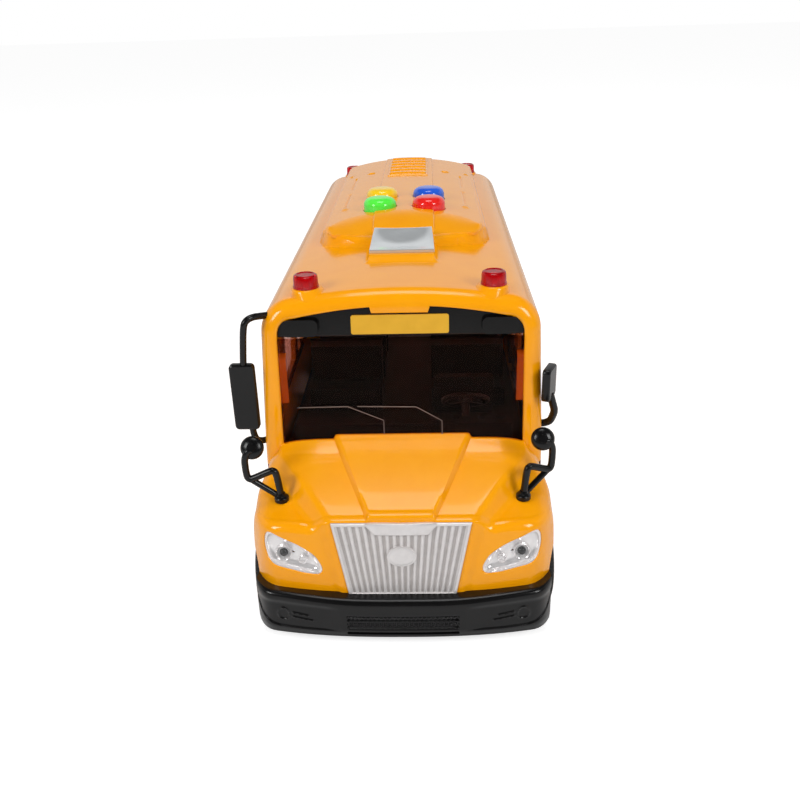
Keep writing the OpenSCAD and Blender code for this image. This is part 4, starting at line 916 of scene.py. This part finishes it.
def build_ribs():
    """Ribs, frame, bare oval badge and the tab under the hood edge."""
    out = Sheet()
    for k in steps((-1, 1, RIBS - 1)):
        rows = []
        for h in steps((-0.3, 0.3, 3), (0.3, 26, 10), (26, 26.4, 2)):
            t = h / 26.5
            x = k * mix(17.6, 22.9, t)
            w = mix(0.62, 0.8, t)
            low = 0.1 if h < -0.2 or h > 26.3 else 0.0
            rows.append([grille_point(x + w * math.cos(a), h, 0.15 + (0.95 - low) * math.sin(a))
                         for a in (math.pi * j / 10 for j in range(11))])
        out.grid(rows)
    loops = []
    for inset, d in ((0.0, 0.0), (0.0, 1.2), (0.25, 1.5), (1.0, 1.5), (1.25, 1.2), (1.3, 0.1)):
        h0, h1 = GRILLE_LOW + inset, GRILLE_HIGH - inset
        corner = [(-1, h0), (1, h0), (1, h1), (-1, h1)]
        loop = []
        for (sa, ha), (sb, hb) in zip(corner, corner[1:] + corner[:1]):
            for j in range(12):
                h = mix(ha, hb, j / 12)
                x = mix(sa * (grille_half(ha) - inset), sb * (grille_half(hb) - inset), j / 12)
                loop.append(grille_point(x, h, d))
        loops.append(loop)
    out.grid(loops, close=True, flip=True)
    badge = ((1.0, 0.2), (1.0, 1.5), (0.97, 1.8), (0.92, 1.9), (0.86, 1.86), (0.8, 1.68), (0.74, 1.66), (0.02, 1.8))
    rings = [[grille_point(BADGE_HALF_W * k * c, BADGE_H + BADGE_HALF_H * k * s, d) for c, s in circle(48)]
             for k, d in badge]
    out.cap(out.grid(rings, close=True, flip=True)[-1][::-1])
    outline = spline([(-11.6, 27.0), (0, 27.0), (11.6, 27.0), (10.9, 24.8), (9.8, 23.4), (8.4, 22.8), (0, 22.7),
                      (-8.4, 22.8), (-9.8, 23.4), (-10.9, 24.8)], 6, closed=True)
    tab = ((1.0, 0.1), (1.0, 1.7), (0.97, 2.0), (0.92, 2.1), (0.5, 2.12))
    rings = [[grille_point(x * k, mix(TAB_H, h, k), d) for x, h in outline] for k, d in tab]
    out.cap(out.grid(rings, close=True)[-1][::-1])
    return out


shown("grille_plate", build_grille(), "silver", ("grille",), look=PLATE)
shown("grille_ribs", build_ribs(), "silver", sharp=40)


# Headlights

LIGHT_CENTRE = np.array((38.0, 33.4))
MAIN_LAMP = (41.3, 33.2)
SIDE_LAMP = (34.5, 31.2)
BOWL_RINGS = ((0.985, 2.4), (0.985, 0.55), (0.95, 0.35), (0.9, 0.5), (0.86, 1.4), (0.78, 2.2), (0.6, 2.6), (0.35, 2.75),
              (0.05, 2.8))
LENS_RINGS = ((0.97, 1.0), (0.985, 0.2), (0.96, -0.05), (0.9, -0.12), (0.7, -0.2), (0.4, -0.24), (0.03, -0.26))


def light_point(sx, x, z, depth):
    """Point behind the face of the nose."""
    return np.array((sx * x, nose_y(x, z) + depth, z))


def light_seat(sx, place, depth):
    """Place and turn of a round piece that looks out of the headlight."""
    lean = math.radians(90 - 7)
    return at(*light_point(sx, *place, depth)) @ Matrix.Rotation(lean, 4, "X")


def light_rings(sheet, sx, table):
    """Rings of the headlight's outline, scaled about its centre and set to depths."""
    rows = [[light_point(sx, *mix(LIGHT_CENTRE, p, k), depth) for p in LIGHT] for k, depth in table]
    return sheet.grid(rows, close=True, flip=sx > 0)


def build_light(sx):
    """Reflector bowl with two raised lamp rings."""
    bowl = Sheet()
    light_rings(bowl, sx, BOWL_RINGS)
    for place, r in ((MAIN_LAMP, 2.9), (SIDE_LAMP, 1.5)):
        ring = lathe([(r, 0.0), (r, 1.5), (r * 0.93, 1.9), (r * 0.84, 1.7), (r * 0.72, 0.9), (r * 0.6, 0.6)], 36)
        bowl.join(ring.turned(light_seat(sx, place, 2.9)))
    return bowl


def build_eye(sx):
    """Dark dome in the main lamp."""
    r = 1.6
    dome = [(r * math.cos(a), 0.9 * r * math.sin(a)) for a in steps((0, math.pi / 2, 8))]
    return lathe(dome, 32).turned(light_seat(sx, MAIN_LAMP, 2.4))


def build_lens(sx):
    """Clear cover, slightly crowned."""
    lens = Sheet()
    lens.cap(light_rings(lens, sx, LENS_RINGS)[-1][::-1])
    return lens


for sx, side in ((1.0, "left"), (-1.0, "right")):
    shown("light_bowl_" + side, build_light(sx), "bright", ("headlight_reflector_" + side,), sharp=40, look=CHROME)
    shown("light_eyes_" + side, build_eye(sx), "black_satin", look=GLOSS_BLACK)
    shown("light_cover_" + side, build_lens(sx), "clear", ("headlight_lens_" + side,))


# Front bumper

BUMPER_Y = -149
# The crease under the end recesses: side places and heights
CREASE = ((27.0, 35.0, 43.4, 46.4, 48.6, 50.4, 51.9), (7.6, 7.7, 8.0, 8.8, 10.2, 12.0, 15.0))
FOG_X, FOG_Z, FOG_R = 41.7, 13.2, 2.1
MESH_PITCH, MESH_Z, MESH_HALF = 1.5, 8.6, 19.4


def bow(x):
    """Front of the bumper, which bows back to its ends."""
    ax = abs(x)
    return BUMPER_Y + 2.7 * (ax / 40) ** 2.5 + 4 * max(0.0, (ax - 44) / 7.3) ** 3


def bumper_relief(x, z):
    """Depth of the bumper's moulded detail; positive stands inwards."""
    ax = abs(x)
    out = 0.0
    if ax > 22:
        edge = min(z - np.interp(ax, *CREASE), (ax - 20) / 12.0)
        out += 0.6 * smooth(edge / 0.7) * smooth((18.2 - z) / 2.0)
    d = math.hypot(ax - FOG_X, z - FOG_Z)
    out -= 0.4 * smooth(1 - abs(d - FOG_R) / 0.5)
    for z0, z1, x0, x1 in ((13.3, 14.1, 32.5, 39.0), (11.4, 12.5, 31.0, 39.0)):
        rib = abs(z - mix(z0, z1, clamp((ax - x0) / (x1 - x0))))
        out -= 0.35 * smooth(min(ax - x0, x1 - ax, 0.5 - rib) / 0.4)
    margin = min(MESH_HALF - ax, z - 8.5, 14.6 - z)
    if margin > 0:
        half = MESH_PITCH / 2
        shift = half if math.floor((z - MESH_Z) / MESH_PITCH) % 2 else 0.0
        cell = math.hypot((x + shift) % MESH_PITCH - half, (z - MESH_Z) % MESH_PITCH - half)
        out += smooth(margin / 0.4) * (0.35 + 0.75 * smooth((0.66 - cell) / 0.25))
    return out + 1.2 * smooth(min(19.5 - ax, 0.7 - abs(z - 6.9)) / 0.4)


def build_bumper():
    """Bumper as a closed form: each column runs up its back, over the ledge, down its face and under it."""
    zs = steps((17.9, 15, 10), (15, 8, 26), (8, 6, 8), (6, 5.0, 3))
    lines = []
    for x in mirrored(steps((-52.0, -50.2, 8), (-50.2, -44, 14), (-44, -21, 58), (-21, 0, 70))):
        b = bow(x)
        wall = mix(2.6, 3.6, smooth((abs(x) - 48) / 3))
        up = 2.0 * smooth((abs(x) - 14) / 34)
        back = nose_y(min(abs(x), 52.5), 20.4) + 0.15
        line = [(b + wall, 4.9), (b + wall, 17.5), (back, 18.0), (back, 20.3 + up * 0.5),
                (b + 2.6, 20.5 + up * 0.8), (b + 1.8, 20.4 + up * 0.9), (b + 1.1, 20.1 + up * 0.95),
                (b + 0.55, 19.6 + up), (b + 0.2, 19.0 + up), (b + 0.04, 18.4 + up)]
        for z in zs:
            lean = 0.9 * smooth((8.5 - z) / 4.2)
            line.append((b + lean + bumper_relief(x, z), z + up * smooth((z - 12) / 8)))
        line += [(b + 1.15, 4.7), (b + 1.5, 4.45), (b + 1.75, 4.35), (b + 2.0, 4.32), (b + wall, 4.4),
                 (b + wall, 4.9)]
        lines.append([(x, y, z) for y, z in line])
    out = Sheet()
    index = out.grid(list(zip(*lines)))
    out.cap([row[0] for row in reversed(index[:-1])])
    out.cap([row[-1] for row in index[:-1]])
    return out


shown("bumper_skin", build_bumper(), "black_satin", ("front_bumper",), sharp=42)


# Mirrors

CROSSVIEW_FOOT = (42.6, -125.0, 47.6)
ROD_R = 1.25


def build_plate(w, h, t, r):
    """A rounded plate about the origin: wide along X, high along Z, thick along Y."""
    out = Sheet()
    loop = []
    for sx, sz, a0 in ((1, 1, 0), (-1, 1, 90), (-1, -1, 180), (1, -1, 270)):
        for k in range(7):
            a = math.radians(a0 + 90 * k / 6)
            loop.append((sx * (w / 2 - r), sz * (h / 2 - r), math.cos(a), math.sin(a)))
    rings = []
    back, front = t / 2, -t / 2
    for grow, y in ((-1.6, back - 0.35), (-1.3, back - 0.3), (-1.0, back), (-0.5, back), (-0.12, back - 0.15),
                    (0, back - 0.5), (0, front + 0.7), (-0.2, front + 0.25), (-0.6, front), (-0.75, front),
                    (-1.4, front)):
        reach = max(r + grow, 0.05)
        rings.append([(x + c * reach, y, z + s * reach) for x, z, c, s in loop])
    index = out.grid(rings, close=True, flip=True)
    out.cap(index[0])
    out.cap(index[-1][::-1])
    return out


def build_crossview(sx, swing):
    """Disc on a bent rod with a strut; swing turns it about its foot."""
    out = tube(spline([(0, 0, -1.2), (0.2, 0, 2.0), (1.1, 0, 9.6), (2.0, 0, 11.2), (3.6, 0, 11.0), (9.2, 0, 8.5),
                       (10.7, 0, 8.3), (11.5, 0, 9.8), (11.7, 0, 14.6), (11.3, 0.1, 17.0), (10.3, 0.4, 18.8),
                       (9.1, 0.8, 19.2)], 7), ROD_R)
    out.join(tube(spline([(0.3, 0.5, 0.2), (5.2, 0.4, 4.0), (10.4, 0.1, 8.1)], 6), 1.1))
    out.join(lathe([(2.6, -0.6), (2.6, 0.8), (2.3, 1.2), (1.7, 1.6), (1.4, 2.4), (0, 2.5)], 32))
    disc = lathe([(0.0, -0.7), (3.2, -0.7), (3.5, -1.0), (3.95, -0.8), (4.1, -0.3), (4.1, 0.3), (3.8, 1.0),
                  (3.0, 1.6), (2.0, 1.9), (1.6, 2.0), (1.4, 2.5), (0, 2.6)], 40)
    turn = at(9.1, 2.4, 19.3) @ Matrix.Rotation(-swing, 4, "Z") @ Matrix.Rotation(math.radians(62), 4, "X")
    out.join(disc.turned(turn))
    out = out.turned(at(*CROSSVIEW_FOOT) @ Matrix.Rotation(swing, 4, "Z"))
    return out if sx > 0 else out.turned(Matrix.Scale(-1, 4, (1, 0, 0)))


def build_tall_mirror():
    """Tall mirror at the door, on two bent rods."""
    out = tube(spline([(-56.6, -101, 87.5), (-55.9, -101, 95), (-55.0, -101, 102.5), (-54.0, -100.6, 105.4),
                       (-51.8, -99, 106.4), (-48.6, -95.6, 105.8), (-45.9, -93, 105.2)], 7), ROD_R)
    out.join(tube(spline([(-55.7, -101, 65.5), (-55.4, -101, 61.5), (-54.6, -100.6, 58.8), (-52.6, -99.6, 57.7),
                          (-49.6, -97.6, 57.6)], 7), ROD_R))
    out.join(build_plate(9.2, 26, 3, 1.6).turned(at(-57.2, -101, 76.5)))
    return out.turned(at(-0.2, 0, 0))


def build_short_mirror():
    """Small mirror at the driver's side, on one bent rod."""
    out = tube(spline([(53.6, -101, 76), (54.6, -100.6, 72.5), (55.5, -100, 69), (55.2, -98.8, 66),
                       (54.4, -97.8, 63.6), (52.4, -97, 62.3), (49.6, -97, 62.2)], 7), 1.4)
    turn = at(53, -101, 80.5) @ Matrix.Rotation(math.radians(67), 4, "Z")
    out.join(build_plate(9.3, 12.4, 3, 1.5).turned(turn))
    return out.turned(at(0.2, 0, 0))


shown("crossview_left", build_crossview(1.0, math.radians(29)), "black_satin", ("crossview_mirror_left",))
shown("crossview_right", build_crossview(-1.0, 0.0), "black_satin", ("crossview_mirror_right",))
shown("mirror_tall", build_tall_mirror(), "black_satin", ("door_mirror_right",))
shown("mirror_short", build_short_mirror(), "black_satin", ("door_mirror_left",))


# Tyres

TREAD_BLOCKS = 32
TREAD_DEPTH = 0.4
TREAD_FROM = 14.3
SIDEWALL = ((10.5, 4.2), (11.2, 4.9), (12.4, 5.0), (13.6, 4.9), (14.6, 4.6), (15.2, 4.1), (15.45, 3.4))


def tread(r, z, turn):
    """Depth of the grooves: slanted ones in two staggered rows, and one round the middle."""
    if r < TREAD_FROM:
        return 0.0
    block = (turn * TREAD_BLOCKS + (0.0 if z > 0 else 0.5) + 0.12 * abs(z)) % 1
    slanted = smooth((0.14 - abs(block - 0.5)) / 0.08)
    return TREAD_DEPTH * max(slanted, smooth((0.6 - abs(z)) / 0.3))


def build_tyre():
    """A tyre about X."""
    profile = list(SIDEWALL) + [(WHEEL_R, z) for z in steps((3.0, -3.0, 12))]
    profile += [(r, -z) for r, z in reversed(SIDEWALL)] + [(10.4, -3.0), (10.4, 3.0), SIDEWALL[0]]
    n = 192
    rows = []
    for r, z in profile:
        depths = [r - tread(r, z, k / n) for k in range(n)]
        rows.append([(z, d * c, d * s) for d, (c, s) in zip(depths, circle(n))])
    out = Sheet()
    out.grid(rows, close=True)
    return out


for end, axle_y in zip(("front", "rear"), AXLES):
    for side, tyre_x in (("left", TYRE_X), ("right", -TYRE_X)):
        place = "%s_%s" % (end, side)
        shown("tread_" + place, build_tyre().turned(at(tyre_x, axle_y, WHEEL_R)), "tyre", ("tyre_" + place,),
              body=end + "_wheels", sharp=30)


# Windshield with moulded wipers

WIPERS = np.array((((-38, 14.6), (-19.6, 14.8), (-6.6, 9.4), (-6.6, 4.2)),
                   ((-16, 14.8), (5.3, 14.4), (14.6, 9.0), (14.6, 3.8))))


def build_windshield():
    """Front and back face of the windshield; the wipers stand out of the front."""
    outer, inner = [], []
    for h in steps((GLASS_LOW, 16, 40), (16, GLASS_HIGH, 24)):
        outer.append([])
        inner.append([])
        for x in steps((GLASS_HALF, -GLASS_HALF, 146)):
            edge = smooth(min(GLASS_HALF - abs(x), h - GLASS_LOW, GLASS_HIGH - h) / 0.5)
            near = min(line_distance(line[:-1], line[1:], x, h) for line in WIPERS)
            wiper = smooth((0.5 - near) / 0.3)
            outer[-1].append(screen(x, h, 0.55 + 0.35 * edge + 0.1 * wiper))
            inner[-1].append(screen(x, h, -0.1 - 0.2 * edge))
    out = Sheet()
    out.grid(outer)
    out.grid(inner, flip=True)
    return out


def build_wipers():
    """Fine lines along the moulded wipers, in a lighter colour that is a painted highlight of the light their edges
    catch.
    """
    out = Sheet()
    for line in WIPERS:
        path = [mix(a, b, k / 8) for a, b in zip(line, line[1:]) for k in range(8)]
        out.join(tube([screen(*p, 0.98) for p in path + [line[-1]]], 0.16, 8))
    return out


shown("wiper_outlines", build_wipers(), "smoke_clear", look=WIPER_EDGE_HIGHLIGHT)
shown("windshield_sheet", build_windshield(), "smoke_clear", ("windshield",), sharp=50)


# Finer edges on the solids that stay

for node_name in ("header_panel", "sign_plate", "rear_bumper", "tail_lamps", "chassis", "battery_door", "dashboard",
                  "steering_wheel", "interior_deck", "hub_front_left", "hub_front_right", "hub_rear_left",
                  "hub_rear_right"):
    bevel = frame["nodes"][node_name].modifiers.new("soft_edges", "BEVEL")
    bevel.width = 0.25 * MM
    bevel.segments = 2
    bevel.limit_method = "ANGLE"
    bevel.angle_limit = math.radians(40)


# Floor, light and camera, in metres

FLOOR_HALF = 6.0
CAMERA = (0.011, -0.3815, 0.2062)
CAMERA_ANGLES = (-2.37, 25.16, 1.79)
FOCAL_PX, PHOTO_PX = 850.0, 800.0
SENSOR_MM = 36.0
AIM = (0, 0, 0.05)


def build_floor():
    """White floor that looks evenly lit and still takes shadows."""
    mesh = bpy.data.meshes.new("floor")
    mesh.from_pydata([(x * FLOOR_HALF, y * FLOOR_HALF, 0.0) for x, y in ((-1, -1), (1, -1), (1, 1), (-1, 1))], [],
                     [(0, 1, 2, 3)])
    obj = placed("floor", mesh)
    mat = bpy.data.materials.new("floor_white")
    mat.use_nodes = True
    tree = mat.node_tree
    tree.nodes.clear()
    new = tree.nodes.new
    out = new("ShaderNodeOutputMaterial")
    matte = setup(new("ShaderNodeBsdfDiffuse"), Color=(0.74, 0.74, 0.74, 1.0))
    glow = new("ShaderNodeEmission")
    path = new("ShaderNodeLightPath")
    add = new("ShaderNodeAddShader")
    total = 0.0
    for ray, share in (("Is Camera Ray", 0.66), ("Is Transmission Ray", 0.66), ("Is Glossy Ray", 0.1)):
        total = calc(tree, "MULTIPLY_ADD", path.outputs[ray], share, total)
    for a, b in ((total, glow.inputs["Strength"]), (matte.outputs[0], add.inputs[0]),
                 (glow.outputs[0], add.inputs[1]), (add.outputs[0], out.inputs["Surface"])):
        tree.links.new(a, b)
    mesh.materials.append(mat)


def build_world():
    """White surroundings for the camera, a bright backdrop in reflections and soft light everywhere else."""
    world = bpy.data.worlds.new("studio")
    bpy.context.scene.world = world
    world.use_nodes = True
    tree = world.node_tree
    shade = setup(tree.nodes["Background"], Color=(1.0, 1.0, 1.0, 1.0))
    new, link = tree.nodes.new, tree.links.new
    path = new("ShaderNodeLightPath")
    coords = new("ShaderNodeTexCoord")
    parts = new("ShaderNodeSeparateXYZ")
    link(coords.outputs["Generated"], parts.inputs["Vector"])

    def ramp(source, a, b, low, high):
        node = new("ShaderNodeMapRange")
        node.interpolation_type = "SMOOTHSTEP"
        setup(node, From_Min=a, From_Max=b, To_Min=low, To_Max=high)
        link(source, node.inputs["Value"])
        return node.outputs["Result"]

    backdrop = calc(tree, "MULTIPLY", ramp(parts.outputs["Z"], 0.46, 0.7, 1.0, 0.1),
                    ramp(parts.outputs["Y"], -0.35, 0.2, 0.08, 0.7))
    glossy = path.outputs["Is Glossy Ray"]
    seen = calc(tree, "MAXIMUM", path.outputs["Is Camera Ray"], path.outputs["Is Transmission Ray"])
    gloss = calc(tree, "MULTIPLY", glossy, backdrop)
    ambient = ramp(calc(tree, "MAXIMUM", seen, glossy), 0.0, 1.0, 0.42, 0.0)
    link(calc(tree, "ADD", calc(tree, "MAXIMUM", seen, gloss), ambient), shade.inputs["Strength"])


def soft_box(name, place, size, power):
    """A square lamp that looks at the bus."""
    lamp = bpy.data.lights.new(name, "AREA")
    lamp.shape = "RECTANGLE"
    lamp.size, lamp.size_y = size
    lamp.energy = power
    obj = placed(name, lamp)
    obj.location = place
    obj.rotation_euler = (Vector(AIM) - obj.location).to_track_quat("-Z", "Y").to_euler()


def build_camera():
    """The camera fitted to the photograph."""
    yaw, tilt, roll = (math.radians(a) for a in CAMERA_ANGLES)
    ahead = np.array((math.sin(yaw) * math.cos(tilt), math.cos(yaw) * math.cos(tilt), -math.sin(tilt)))
    right0 = np.array((math.cos(yaw), -math.sin(yaw), 0.0))
    down0 = np.cross(ahead, right0)
    right = math.cos(roll) * right0 + math.sin(roll) * down0
    down = -math.sin(roll) * right0 + math.cos(roll) * down0
    data = bpy.data.cameras.new("view")
    data.lens = SENSOR_MM * FOCAL_PX / PHOTO_PX
    data.sensor_width = SENSOR_MM
    data.clip_start = 0.01
    cam = placed("view", data)
    rows = [[*(float(v[i]) for v in (right, -down, -ahead)), CAMERA[i]] for i in range(3)]
    cam.matrix_world = Matrix(rows + [[0, 0, 0, 1]])
    bpy.context.scene.camera = cam


build_floor()
build_world()
soft_box("box_right", (0.7, -0.75, 0.65), (0.3, 0.42), 4.4)
soft_box("box_left", (-0.75, -0.7, 0.62), (0.3, 0.42), 4.2)
soft_box("box_top", (0.0, -0.05, 1.2), (0.45, 0.45), 2.8)
build_camera()
bpy.context.scene.view_settings.view_transform = "Standard"
